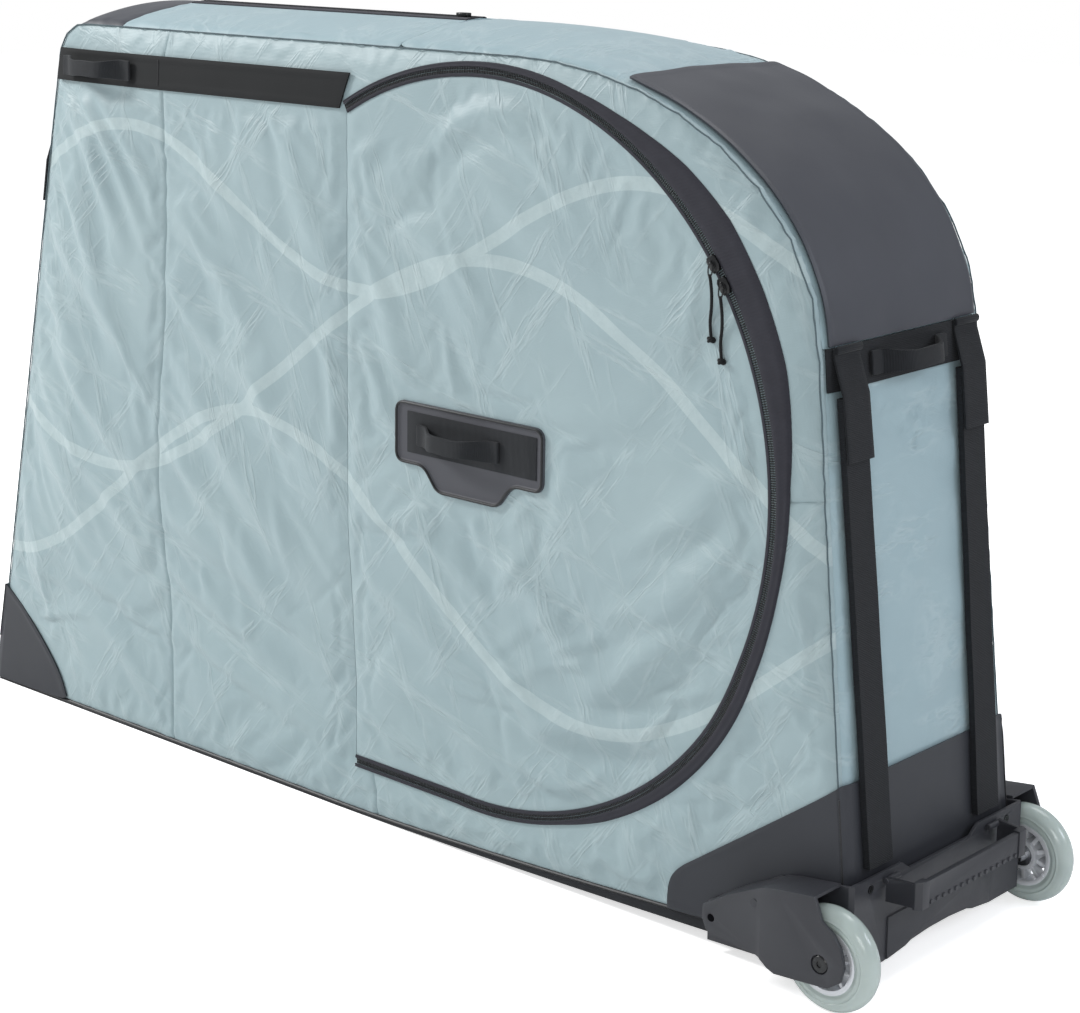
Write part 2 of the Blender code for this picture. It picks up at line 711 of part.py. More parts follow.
def outline_beyond(place):
    """Where a line from the zip's centre through a place leaves the side outline or the base."""
    dx, dz = place[0] - ZIP_CENTRE_X, place[1] - ZIP_CENTRE_HEIGHT
    best = None
    if dz < 0:
        x = ZIP_CENTRE_X
        for _ in range(BASE_STEPS):
            reach = (base_top(x) + GAP - ZIP_CENTRE_HEIGHT) / dz
            x = min(REAR_FOOT_X, ZIP_CENTRE_X + dx * reach)
        best = (reach, ZIP_CENTRE_X + dx * reach, ZIP_CENTRE_HEIGHT + dz * reach)
    for (x0, z0), (x1, z1) in zip(OUTLINE, OUTLINE[1:]):
        ex, ez = x1 - x0, z1 - z0
        cross = dx * ez - dz * ex
        if abs(cross) < 1e-12:
            continue
        along = ((x0 - ZIP_CENTRE_X) * ez - (z0 - ZIP_CENTRE_HEIGHT) * ex) / cross
        share = ((x0 - ZIP_CENTRE_X) * dz - (z0 - ZIP_CENTRE_HEIGHT) * dx) / cross
        if along > 0 and 0 <= share <= 1 and (best is None or along < best[0]):
            best = (along, x0 + ex * share, z0 + ez * share)
    return best[1], best[2]


def make_side_panel(name, side):
    """A padded side with its D-shaped doorway: the front panel and the frame round the door."""
    foot_x = rear_x(base_top(REAR_FOOT_X))
    rim = door_rim(0)
    outers = [(HINGE_X, TOP_HEIGHT)] + [outline_beyond(place) for place in rim[1:-1]]
    outers.append((HINGE_X, base_top(HINGE_X) + GAP))
    nearest = min(range(len(rim)), key=lambda i: math.dist(outers[i], (foot_x, base_top(foot_x))))
    outers[nearest] = (foot_x, base_top(foot_x) + GAP)
    flat = []
    for inner, outer in zip(rim, outers):
        for r in range(FRAME_ROWS):
            share = r / (FRAME_ROWS - 1)
            flat.append((inner[0] + (outer[0] - inner[0]) * share, inner[1] + (outer[1] - inner[1]) * share))
    faces = grid_faces(len(rim), FRAME_ROWS)

    low, high = rim[-1][1], rim[0][1]
    foot = base_top(HINGE_X) + GAP
    below = [foot + (low - foot) * i / (FRAME_ROWS - 1) for i in range(FRAME_ROWS - 1)]
    above = [high + (TOP_HEIGHT - high) * i / (FRAME_ROWS - 1) for i in range(1, FRAME_ROWS)]
    heights = below + [low + (high - low) * i / HINGE_STEPS for i in range(HINGE_STEPS + 1)] + above
    corner_back = walk_where(front_x(TOP_HEIGHT) + CORNER_RADIUS, "top")
    nose_length = WALKED[-1] - corner_back
    start = len(flat)
    for c in range(FRONT_COLUMNS + 1):
        share = c / FRONT_COLUMNS
        for z in heights:
            rise = (z - foot) / (TOP_HEIGHT - foot)
            nose_x, nose_z = edge(WALKED[-1] - nose_length * rise)[:2]
            flat.append((nose_x + (HINGE_X - nose_x) * share, nose_z + (z - nose_z) * share))
    faces += [tuple(i + start for i in face) for face in grid_faces(FRONT_COLUMNS + 1, len(heights))]
    merged = []
    index = []
    for x, z in flat:
        for i, (px, pz) in enumerate(merged):
            if math.hypot(px - x, pz - z) < GAP / 3:
                index.append(i)
                break
        else:
            index.append(len(merged))
            merged.append((x, z))
    faces = [tuple(index[i] for i in face) for face in faces]
    faces = [face for face in faces if len(set(face)) == len(face)]
    ordered = []
    for face in faces:
        area = 0.0
        for a, b in zip(face, face[1:] + face[:1]):
            area += merged[a][0] * merged[b][1] - merged[b][0] * merged[a][1]
        ordered.append(face if area > 0 else tuple(reversed(face)))
    points = [(x, side * side_half(x, z), z) for x, z in merged]
    offsets = [(0, -side * SIDE_WALL, 0)] * len(points)
    shell(name, points, ordered, offsets, "light_cloth")


def make_door(name, side):
    """The D-shaped door, hinged by its straight edge, with half of the zip round its curve."""
    rim = door_rim(ZIP_GAP)
    hinge, low, high = rim[-1][0], rim[-1][1], rim[0][1]
    rim += [(hinge, low + (high - low) * i / HINGE_STEPS) for i in range(1, HINGE_STEPS)]
    flat = [(ZIP_CENTRE_X, ZIP_CENTRE_HEIGHT)]
    for share in DOOR_RING_SHARES:
        for x, z in rim:
            flat.append((ZIP_CENTRE_X + (x - ZIP_CENTRE_X) * share,
                         ZIP_CENTRE_HEIGHT + (z - ZIP_CENTRE_HEIGHT) * share))
    count = len(rim)
    faces = []
    for i in range(count):
        j = (i + 1) % count
        faces.append((0, 1 + i, 1 + j))
        for r in range(len(DOOR_RING_SHARES) - 1):
            a, b = 1 + r * count, 1 + (r + 1) * count
            faces.append((a + i, b + i, b + j, a + j))
    points = [(x, side * side_half(x, z), z) for x, z in flat]
    offsets = [(0, -side * DOOR_THICKNESS, 0)] * len(points)
    return shell(name, points, faces, offsets, "light_cloth")


def slider_plan(start):
    """Outline of a slider seen from above, with its middle at a distance along its track."""
    half = SLIDER_WIDTH / 2
    edge_points = [(start + along * SLIDER_LENGTH, wide * half) for along, wide in SLIDER_PLAN_SHARES]
    return edge_points + [(a, -b) for a, b in reversed(edge_points)]


def zip_slider(name, side, angle):
    """A slider: a waisted body over the teeth and a bridge that the pull hangs from."""
    x, z = zip_point(angle, ZIP_RADIUS - SLIDER_WIDTH / 2 + COIL_WIDTH / 2)
    turn = math.radians(angle)
    along = Vector((-math.sin(turn), 0, math.cos(turn)))
    out = Vector((math.cos(turn), 0, math.sin(turn)))
    face = HALF_WIDTH + SIDE_BULGE + GAP

    def place(a, b, level):
        return Vector((x, side * level, z)) + along * a + out * b

    body = prism(name, slider_plan(0), place, face, face + SLIDER_HEIGHT, "zip_metal")
    half_bridge = SLIDER_LENGTH / 4
    loop = [(-half_bridge, 0), (half_bridge, 0), (half_bridge, 1), (-half_bridge, 1)]

    def stand(a, b, level):
        rise = face + SLIDER_HEIGHT - GAP + b * SLIDER_BRIDGE
        return Vector((x, side * rise, z)) + along * a + out * level

    wide = SLIDER_WIDTH * SLIDER_BRIDGE_SHARE
    bridge = prism("bridge", loop, stand, -wide / 2, wide / 2, "zip_metal")
    return combine(body, [bridge], "UNION")


def pull_cord(name, side, angle):
    """The short cord on a slider: over the bridge, then down against the door."""
    x, z = zip_point(angle, ZIP_RADIUS - SLIDER_WIDTH / 2 + COIL_WIDTH / 2)
    top = HALF_WIDTH + SIDE_BULGE + SLIDER_HEIGHT + SLIDER_BRIDGE + GAP + PULL_DIAMETER / 2
    rest = HALF_WIDTH + SIDE_BULGE + SKIN_GAP + PULL_DIAMETER / 2
    start_z = z - SLIDER_LENGTH / 2 - GAP
    route = []
    for share, drop, sway in PULL_ROUTE_SHARES:
        out = top + (rest - top) * drop
        route.append(Vector((x + sway * PULL_LENGTH, side * out, start_z - share * PULL_LENGTH)))
    smooth = []
    for i in range(len(route) - 1):
        a = route[max(i - 1, 0)]
        b, c = route[i], route[i + 1]
        d = route[min(i + 2, len(route) - 1)]
        for k in range(CORD_STEPS):
            t = k / CORD_STEPS
            smooth.append(0.5 * (2 * b + (c - a) * t + (2 * a - 5 * b + 4 * c - d) * t * t
                                 + (3 * b - a - 3 * c + d) * t ** 3))
    smooth.append(route[-1])
    smooth = [lean_in(point) for point in smooth]
    line = bpy.data.curves.new(name, "CURVE")
    line.dimensions = "3D"
    line.bevel_depth = PULL_DIAMETER / 2
    line.bevel_resolution = 2
    line.use_fill_caps = True
    spline = line.splines.new("POLY")
    spline.points.add(len(smooth) - 1)
    for point, place in zip(spline.points, smooth):
        point.co = (*place, 1.0)
    item = bpy.data.objects.new(name, line)
    bpy.context.scene.collection.objects.link(item)
    item.data.materials.append(material("cord"))
    return item


def strap_grip(name, length, place, slot="webbing"):
    """A webbing grip sewn down at both ends, raised between them for the fingers."""
    half = length / 2
    tab = length * GRIP_TAB_SHARE
    shoulder = half - tab - GRIP_RISE * GRIP_SLOPE_SHARE
    line = [(-half, 0.0), (-half + tab, 0.0), (-shoulder, GRIP_SHOULDER_SHARE), (-shoulder / 2, 1.0),
            (0.0, 1.0)]
    line += [(-a, b) for a, b in reversed(line[:-1])]
    points = []
    for a, rise in line:
        for b in (-GRIP_WIDTH / 2, GRIP_WIDTH / 2):
            points.append(place(a, b, GAP + rise * GRIP_RISE + GRIP_STRAP))
    low = []
    for a, rise in line:
        inward = GRIP_LEAN_SHARE * GRIP_STRAP * (a < 0) - GRIP_LEAN_SHARE * GRIP_STRAP * (a > 0)
        inward = inward if rise > 0 else 0
        for b in (-GRIP_WIDTH / 2, GRIP_WIDTH / 2):
            low.append(place(a + inward, b, GAP + rise * GRIP_RISE))
    offsets = [Vector(q) - Vector(p) for p, q in zip(points, low)]
    return shell(name, points, grid_faces(len(line), 2), offsets, slot)


def corner_arc(x, z, radius, start):
    """A quarter circle about a corner's centre, from an angle on."""
    arc = []
    for k in range(CORNER_STEPS + 1):
        turn = math.radians(start) + math.pi / 2 * k / CORNER_STEPS
        arc.append((x + radius * math.cos(turn), z + radius * math.sin(turn)))
    return arc


def make_grip_plate(name, side):
    """The moulded backing plate behind the door grip, with a tab below it."""
    half, tall = PLATE_LENGTH / 2, PLATE_HEIGHT / 2
    across_to, up_to = half - PLATE_CORNER, tall - PLATE_CORNER
    tab = PLATE_TAB_LENGTH / 2
    outline = corner_arc(across_to, up_to, PLATE_CORNER, 0) + corner_arc(-across_to, up_to, PLATE_CORNER, 90)
    outline += corner_arc(-across_to, -up_to, PLATE_CORNER, 180)
    outline += [(-tab, -tall), (-tab + PLATE_TAB_SLOPE, -tall - PLATE_TAB_DROP),
                (tab - PLATE_TAB_SLOPE, -tall - PLATE_TAB_DROP), (tab, -tall)]
    outline += corner_arc(across_to, -up_to, PLATE_CORNER, 270)
    face = HALF_WIDTH + SIDE_BULGE + GAP

    def place(a, b, level):
        return (PLATE_CENTRE_X + a, side * level, DOOR_GRIP_HEIGHT + b)

    return prism(name, outline, place, face, face + PLATE_THICKNESS, "black_cloth")


def make_door_side(label, side):
    """One door with its grip, plate, sliders and pulls, hung on its hinge line."""
    door = make_door(label + "_door", side)
    plate = make_grip_plate(label + "_grip_plate", side)
    face = HALF_WIDTH + SIDE_BULGE + GAP + PLATE_THICKNESS

    def place(a, b, level):
        return (DOOR_GRIP_X + a, side * (face + level), DOOR_GRIP_HEIGHT + b)

    grip = strap_grip(label + "_door_grip", DOOR_GRIP_LENGTH, place)
    hinge = (HINGE_X, side * (HALF_WIDTH + SIDE_BULGE + HINGE_STAND_OFF), ZIP_CENTRE_HEIGHT)
    hinge = lean_in(hinge)
    axis = joint_at(label + "_door_hinge", hinge, [door, plate, grip])
    for level, angle in (("upper", UPPER_SLIDER_ANGLE), ("lower", LOWER_SLIDER_ANGLE)):
        slider = zip_slider(f"{label}_{level}_slider", side, angle)
        cord = pull_cord(f"{label}_{level}_pull", side, angle)
        centre = lean_in((ZIP_CENTRE_X, side * HALF_WIDTH, ZIP_CENTRE_HEIGHT))
        track = joint_at(f"{label}_{level}_track", centre, [slider])
        for point in cord.data.splines[0].points:
            point.co = (*(Vector(point.co[:3]) - Vector(centre)), 1.0)
        cord.parent = track
        track.parent = axis
        track.location = Vector(centre) - Vector(hinge)


def side_skin(name, side, columns, slot, thickness=SKIN):
    """A patch sewn on a side: each column is a list of (x, z)."""
    flat = [point for column in columns for point in column]
    points = [(x, side * (side_half(x, z) + SKIN_GAP + thickness), z) for x, z in flat]
    offsets = [(0, -side * thickness, 0)] * len(points)
    return shell(name, points, grid_faces(len(columns), len(columns[0])), offsets, slot)


def make_shoulder(label, side):
    """The black band high on the front half of a side, with its grip.

    Its rear end slopes, so that the corner of the turning door passes below it.
    """
    foot = SHOULDER_TOP - SHOULDER_HEIGHT
    rises = [i / 2 for i in range(3)]
    heights = [foot + SHOULDER_HEIGHT * rise for rise in rises]
    starts = [edge(walk_where(z, "nose"))[0] + SHOULDER_MARGIN for z in heights]
    stops = [SHOULDER_BACK_X - SHOULDER_SLOPE * (1 - rise) for rise in rises]
    columns = []
    for i in range(BAND_COLUMNS + 1):
        share = i / BAND_COLUMNS
        columns.append([(x + (stop - x) * share, z) for x, stop, z in zip(starts, stops, heights)])
    side_skin(label + "_shoulder_band", side, columns, "black_cloth")
    middle = foot + SHOULDER_HEIGHT / 2
    face = HALF_WIDTH + SIDE_BULGE + SKIN_GAP + SKIN

    def place(a, b, level):
        return (SHOULDER_GRIP_X + a, side * (face + level), middle + b)

    strap_grip(label + "_shoulder_grip", SHOULDER_GRIP_LENGTH, place)


def wrap_patch(name, end, wing_length, height, tops, slot):
    """Tough cloth wrapped round one end: a wing on each side and the strip across the end."""
    out = SKIN_GAP + SKIN
    points = []
    offsets = []
    edge_x = rear_x if end == REAR else front_x

    def wing(side, share, top_share):
        foot_x = edge_x(0) - end * wing_length * share
        foot = base_top(foot_x) + GAP
        top = max(height * top_share, foot + PATCH_TIP_HEIGHT)
        for r in range(PATCH_ROWS):
            z = foot + (top - foot) * r / (PATCH_ROWS - 1)
            x = edge_x(z) - end * wing_length * share
            points.append((x, side * (side_half(x, z) + out), z))
            offsets.append((0, -side * SKIN, 0))

    def rib(y, corner=0):
        foot = base_top(edge_x(0)) + GAP
        for r in range(PATCH_ROWS):
            z = foot + (height - foot) * r / (PATCH_ROWS - 1)
            lift = crown_out(edge_x(z), y, z)
            points.append((edge_x(z) + end * (lift + out), y + corner * out, z))
            offsets.append((-end * SKIN, -corner * SKIN, 0))

    for share, top_share in reversed(tops):
        wing(NEAR, share, top_share)
    rib(NEAR * HALF_WIDTH, NEAR)
    for y in stations(END_HALF):
        rib(y)
    rib(FAR * HALF_WIDTH, FAR)
    for share, top_share in tops:
        wing(FAR, share, top_share)
    return shell(name, points, grid_faces(len(points) // PATCH_ROWS, PATCH_ROWS), offsets, slot)


def end_face_x(end, z, out):
    """X of a place this far out from the crowned middle of an end panel."""
    x = rear_x(z) if end == REAR else front_x(z)
    return x + end * (crown_at(x, z) + out)


def sleeve_centre(z):
    """Distance of a sleeve's middle from the bag's middle: the sleeves spread towards the top."""
    return SLEEVE_CENTRE_Y + SLEEVE_SPREAD_SHARE * z


def make_sleeve(label, end, side, foot, top):
    """A flat sleeve sewn down an end, closed below, and the stiffening rod that stands in it."""
    hollow = ROD_DIAMETER + 2 * GAP
    low = SKIN_GAP + SKIN + SKIN_GAP
    high = low + hollow + 2 * SLEEVE_WALL
    half = SLEEVE_WIDTH / 2

    def ring(z, inset):
        corners = ((low + inset, inset - half), (high - inset, inset - half),
                   (high - inset, half - inset), (low + inset, half - inset))
        return [(end_face_x(end, z, out), side * (sleeve_centre(z) + y), z) for out, y in corners]

    points = ring(foot, 0) + ring(top, 0) + ring(foot + SLEEVE_WALL, SLEEVE_WALL) + ring(top, SLEEVE_WALL)
    faces = [(0, 1, 2, 3), (8, 11, 10, 9)]
    for i in range(4):
        j = (i + 1) % 4
        faces += [(i, j, j + 4, i + 4), (i + 4, j + 4, j + 12, i + 12), (i + 8, j + 8, j + 12, i + 12)]
    add_mesh(label + "_sleeve", points, faces, "webbing")

    middle = (low + high) / 2
    places = [foot + SLEEVE_WALL + GAP, top - ROD_SHORTFALL]
    ends = []
    for z in places:
        for k in range(ROD_SIDES):
            turn = 2 * math.pi * k / ROD_SIDES
            ends.append((end_face_x(end, z, middle) + ROD_DIAMETER / 2 * math.cos(turn),
                         side * sleeve_centre(z) + ROD_DIAMETER / 2 * math.sin(turn), z))
    faces = [tuple(range(ROD_SIDES)), tuple(range(2 * ROD_SIDES - 1, ROD_SIDES - 1, -1))]
    for k in range(ROD_SIDES):
        j = (k + 1) % ROD_SIDES
        faces.append((k, j, j + ROD_SIDES, k + ROD_SIDES))
    add_mesh(label + "_rod", ends, faces, "rod")


def make_sleeve_flap(label, end, side, head, length, sleeve_top):
    """The flap that hangs over a sleeve's mouth, sewn along its top edge."""
    lift = SKIN_GAP + BAND_THICKNESS + GAP if end == REAR else SKIN_GAP
    past = SKIN_GAP + SKIN + SKIN_GAP + ROD_DIAMETER + 2 * GAP + 2 * SLEEVE_WALL + GAP + FLAP_FLARE
    line = [(head, lift), (head - length * FLAP_HEM_SHARE, lift),
            (sleeve_top + FLAP_THICKNESS, past), (head - length, past + FLAP_FLARE)]
    half = SLEEVE_WIDTH / 2 + SKIN
    points = []
    for z, out in line:
        for y in (-half, half):
            points.append((end_face_x(end, z, out + FLAP_THICKNESS), side * (sleeve_centre(z) + y), z))
    offsets = [(-end * FLAP_THICKNESS, 0, 0)] * len(points)
    flap = shell(label + "_sleeve_flap", points, grid_faces(len(line), 2), offsets, "webbing")
    pivot = (end_face_x(end, head, lift + FLAP_THICKNESS), side * sleeve_centre(head), head)
    joint_at(label + "_flap_hinge", lean_in(pivot), [flap])


def make_ends():
    """The end panels, the arch with its hood, the nose cover, and what is sewn on them."""
    foot = walk_where(base_top(REAR_FOOT_X) + END_WALL * REAR_LEAN_SHARE + 2 * GAP, "rear")
    band_top = walk_where(BAND_TOP, "rear")
    arch_top = walk_where(TOP_OPENING_BACK_X, "top")
    cover_back = walk_where(NOSE_COVER_BACK_X, "top")
    cover_foot = walk_where(FRONT_PANEL_TOP, "nose")
    nose_foot = WALKED[-1] - END_WALL * FRONT_LEAN_SHARE - GAP
    hood_foot = walk_where(BAND_TOP + HOOD_SEAM, "rear")
    hood_lead = walk_where(HOOD_LEAD_X, "top")
    band_foot = walk_where(BAND_TOP - BAND_HEIGHT, "rear")
    for name, start, stop, steps, slot in (
        ("rear_end_panel", foot, band_top - GAP, REAR_PANEL_STEPS, "light_cloth"),
        ("arch_panel", band_top, arch_top - GAP, ARCH_STEPS, "light_cloth"),
        ("nose_cover", cover_back + GAP, cover_foot - GAP, COVER_STEPS, "black_cloth"),
        ("front_end_panel", cover_foot, nose_foot, FRONT_PANEL_STEPS, "light_cloth"),
    ):
        end_sheet(name, start, stop, steps, END_HALF, -END_WALL, END_WALL, slot)
    hood_half = END_HALF - HOOD_MARGIN
    end_sheet("hood", hood_foot, hood_lead, HOOD_STEPS, hood_half, SKIN_GAP, HOOD_THICKNESS, "black_cloth")
    end_sheet("rear_cross_band", band_foot, band_top, CROSS_BAND_STEPS, END_HALF, SKIN_GAP, BAND_THICKNESS,
              "webbing")
    middle = BAND_TOP - BAND_HEIGHT / 2

    def place(a, b, level):
        z = middle + b
        return (end_face_x(REAR, z, SKIN_GAP + BAND_THICKNESS + GAP + level), a, z)

    strap_grip("rear_grip", REAR_GRIP_LENGTH, place)
    wrap_patch("kick_patch", REAR, KICK_PATCH_LENGTH, KICK_PATCH_HEIGHT, KICK_TOP_SHARES, "black_cloth")
    wrap_patch("toe_patch", FRONT, TOE_PATCH_LENGTH, TOE_PATCH_HEIGHT, TOE_TOP_SHARES, "black_cloth")
    for end, end_name, sleeve_foot, sleeve_top, head, length in (
        (REAR, "rear", LIP_HEIGHT + SLEEVE_FOOT_CLEARANCE, REAR_SLEEVE_TOP, BAND_TOP, FLAP_LENGTH),
        (FRONT, "front", FRONT_SLEEVE_FOOT, FRONT_SLEEVE_TOP, FRONT_PANEL_TOP, FRONT_FLAP_LENGTH),
    ):
        for side, side_name in ((NEAR, "near"), (FAR, "far")):
            label = f"{end_name}_{side_name}"
            make_sleeve(label, end, side, sleeve_foot, sleeve_top)
            make_sleeve_flap(label, end, side, head, length, sleeve_top)


def top_flap(name, near_y, far_y, side):
    """Half of the top, crowned like the rest of it, from its hinge seam to the main zip."""
    start, stop = NOSE_COVER_BACK_X + GAP, TOP_OPENING_BACK_X - GAP
    ys = sorted({near_y, far_y} | {side * y for y in (CROWN_FLAT_HALF, (CROWN_FLAT_HALF + END_HALF) / 2,
                                                     CROWN_FLAT_HALF / 2)})
    points = []
    for i in range(FLAP_COLUMNS + 1):
        x = start + (stop - start) * i / FLAP_COLUMNS
        for y in ys:
            points.append((x, y, TOP_HEIGHT + crown_out(x, y, TOP_HEIGHT)))
    offsets = [(0, 0, -FLAP_WALL)] * len(points)
    return shell(name, points, grid_faces(FLAP_COLUMNS + 1, len(ys)), offsets, "light_cloth")


def make_top():
    """The two flaps over the main compartment, and the slider of the zip between them."""
    hinge_y = END_HALF - TOP_HINGE_CLEARANCE
    near = top_flap("near_top_flap", -hinge_y, MAIN_TAPE_HALF, NEAR)
    far = top_flap("far_top_flap", MAIN_TAPE_HALF + ZIP_GAP, hinge_y, FAR)
    middle = (NOSE_COVER_BACK_X + TOP_OPENING_BACK_X) / 2
    height = TOP_HEIGHT + TOP_HINGE_STAND_OFF
    axis = joint_at("near_top_hinge", lean_in((middle, -END_HALF, height)), [near])
    joint_at("far_top_hinge", lean_in((middle, END_HALF, height)), [far])
    face = TOP_HEIGHT + crown_out(MAIN_SLIDER_X, 0, TOP_HEIGHT) + 2 * GAP
    slider = prism("main_slider", slider_plan(MAIN_SLIDER_X), upward, face, face + SLIDER_HEIGHT, "zip_metal")
    track = joint_at("main_track", (MAIN_SLIDER_X, 0, face), [slider])
    track.parent = axis
    track.location = Vector((MAIN_SLIDER_X, 0, face)) - axis.location


def disc(x, z, radius, steps=HOLE_STEPS):
    """The points of a circle."""
    return [(x + radius * math.cos(2 * math.pi * k / steps), z + radius * math.sin(2 * math.pi * k / steps))
            for k in range(steps)]


def rearward(y, z, x):
    return (x, y, z)


def both_sides(points):
    """A half outline that ends at the middle, followed by its other half."""
    return points + [(-a, b) for a, b in reversed(points)]


def make_carrier():
    """The moulded tray under the rear: a floor, two side walls and a shaped wall behind the bag."""
    inner = HALF_WIDTH + SKIN_GAP + SKIN + CARRIER_CLEARANCE
    outer = inner + CARRIER_WALL
    back = end_face_x(REAR, base_foot(REAR_FOOT_X), SKIN_GAP + SKIN + CARRIER_CLEARANCE)
    rear = back + CARRIER_WALL
    first = rear - CARRIER_LENGTH
    bite = CARRIER_WALL / 2

    def floor_under(x):
        return base_foot(min(x, REAR_FOOT_X)) - SKIN_GAP - CARRIER_FLOOR

    heel = REAR_FOOT_X - BASE_HEEL_LENGTH
    wall = [(first, floor_under(first)), (heel, floor_under(heel)), (rear, WALL_FOOT), (rear, LIP_HEIGHT),
            (first + CARRIER_LENGTH / 2, CARRIER_WAIST_HEIGHT), (first, CARRIER_NOSE_HEIGHT)]
    tray = prism("wheel_carrier", wall, across, -outer, -inner, "moulded_plastic")
    far_wall = prism("far_wall", wall, across, inner, outer, "moulded_plastic")
    places = [first + bite, heel, back + bite]
    slab = [(x, floor_under(x) + GAP) for x in places]
    slab += [(x, floor_under(x) + CARRIER_FLOOR) for x in places[::-1]]
    floor = prism("floor", slab, across, -inner - bite, inner + bite, "moulded_plastic")

    arch = [(-a * WALL_ARCH_HALF, WALL_FOOT + b * WALL_ARCH) for a, b in WALL_ARCH_SHARES]
    dip = LIP_DIP_HALF + LIP_DIP_SLOPE
    lip = [(inner + bite, LIP_HEIGHT - GAP), (dip, LIP_HEIGHT - GAP), (LIP_DIP_HALF, LIP_HEIGHT - LIP_DIP)]
    outline = both_sides([(-inner - bite, WALL_FOOT + GAP)] + arch) + both_sides(lip)
    rear_wall = prism("rear_wall", outline, rearward, back, rear - GAP, "moulded_plastic")
    raised = [(-RAISED_PANEL_HALF, RAISED_PANEL_TOP)]
    raised += [(a * RAISED_PANEL_HALF / WALL_ARCH_HALF, b + RAISED_PANEL_MARGIN) for a, b in arch]
    panel = prism("panel", both_sides(raised), rearward, rear - bite, rear + RAISED_PANEL_PROUD,
                  "moulded_plastic")
    combine(tray, [far_wall, rear_wall, floor, panel], "UNION")

    cutters = []
    for side in (NEAR, FAR):
        corner = [(rear + CARRIER_CHAMFER, side * (outer - 2 * CARRIER_CHAMFER)),
                  (rear - 2 * CARRIER_CHAMFER, side * (outer + CARRIER_CHAMFER)),
                  (rear + CARRIER_CHAMFER, side * (outer + CARRIER_CHAMFER))]
        cutters.append(prism("corner", corner, upward, 0, LIP_HEIGHT + CARRIER_WALL, "moulded_plastic"))
        recess = disc(side * SCREW_Y, LIP_HEIGHT - SCREW_DROP, SCREW_RECESS_DIAMETER / 2)
        cutters.append(prism("recess", recess, rearward, rear - SCREW_RECESS_DEPTH, rear + bite,
                             "moulded_plastic"))
        hole = disc(AXLE_X, AXLE_HEIGHT, AXLE_DIAMETER / 2 + GAP)
        cutters.append(prism("hole", hole, across, side * (inner - bite), side * (outer + bite),
                             "moulded_plastic"))
    combine(tray, cutters, "DIFFERENCE")
    return rear, outer


def guard_points(shares):
    """Points of the guard's side view, from shares of its length and height."""
    first = AXLE_X + GUARD_OVERHANG - GUARD_LENGTH
    return [(first + a * GUARD_LENGTH, GUARD_FOOT + b * GUARD_HEIGHT) for a, b in shares]


def make_guard(label, side, carrier_outer):
    """The cover outside a wheel: a stepped plate, and a roof and nose that reach in to the carrier."""
    inner = WHEEL_TRACK / 2 + WHEEL_WIDTH / 2 + GUARD_CLEARANCE
    outer = inner + GUARD_THICKNESS
    upper = guard_points(GUARD_NOSE_SHARES + GUARD_PEAK_SHARES)
    outline = upper + guard_points(GUARD_TAIL_SHARES + GUARD_FOOT_SHARES)
    plate = prism(label + "_wheel_guard", outline, across, side * inner, side * outer, "moulded_plastic")
    under = []
    for i, (x, z) in enumerate(upper):
        a, b = upper[max(i - 1, 0)], upper[min(i + 1, len(upper) - 1)]
        dx, dz = b[0] - a[0], b[1] - a[1]
        long = math.hypot(dx, dz)
        under.append((x + dz / long * GUARD_ROOF, z - dx / long * GUARD_ROOF))
    strip = upper + list(reversed(under))
    middle = (inner + outer) / 2
    roof = prism("roof", strip, across, side * (carrier_outer + GAP), side * middle, "moulded_plastic")
    combine(plate, [roof], "UNION")

    first = AXLE_X + GUARD_OVERHANG - GUARD_LENGTH
    step = first + GUARD_STEP_SHARE * GUARD_LENGTH
    proud = outer + GUARD_THICKNESS
    cut = [(first - GUARD_THICKNESS, side * proud), (first - GUARD_THICKNESS, side * (outer - GUARD_STEP)),
           (step - GUARD_STEP_SLOPE, side * (outer - GUARD_STEP)), (step, side * outer), (step, side * proud)]
    along, up = GUARD_HOLE_SHARES
    hole_x, hole_z = first + along * GUARD_LENGTH, GUARD_FOOT + up * GUARD_HEIGHT
    cutters = [prism("step", cut, upward, 0, GUARD_FOOT + GUARD_HEIGHT + GUARD_THICKNESS, "moulded_plastic")]
    for x, z, radius, depth in (
        (AXLE_X, AXLE_HEIGHT, AXLE_DIAMETER / 2 + GAP, 2 * GUARD_THICKNESS),
        (AXLE_X, AXLE_HEIGHT, BOLT_SINK_DIAMETER / 2, BOLT_SINK_DEPTH),
        (hole_x, hole_z, GUARD_HOLE_DIAMETER / 2, GUARD_STEP + BOLT_SINK_DEPTH),
    ):
        cutters.append(prism("hole", disc(x, z, radius), across, side * (outer - depth), side * proud,
                             "moulded_plastic"))
    combine(plate, cutters, "DIFFERENCE")
    return inner, outer


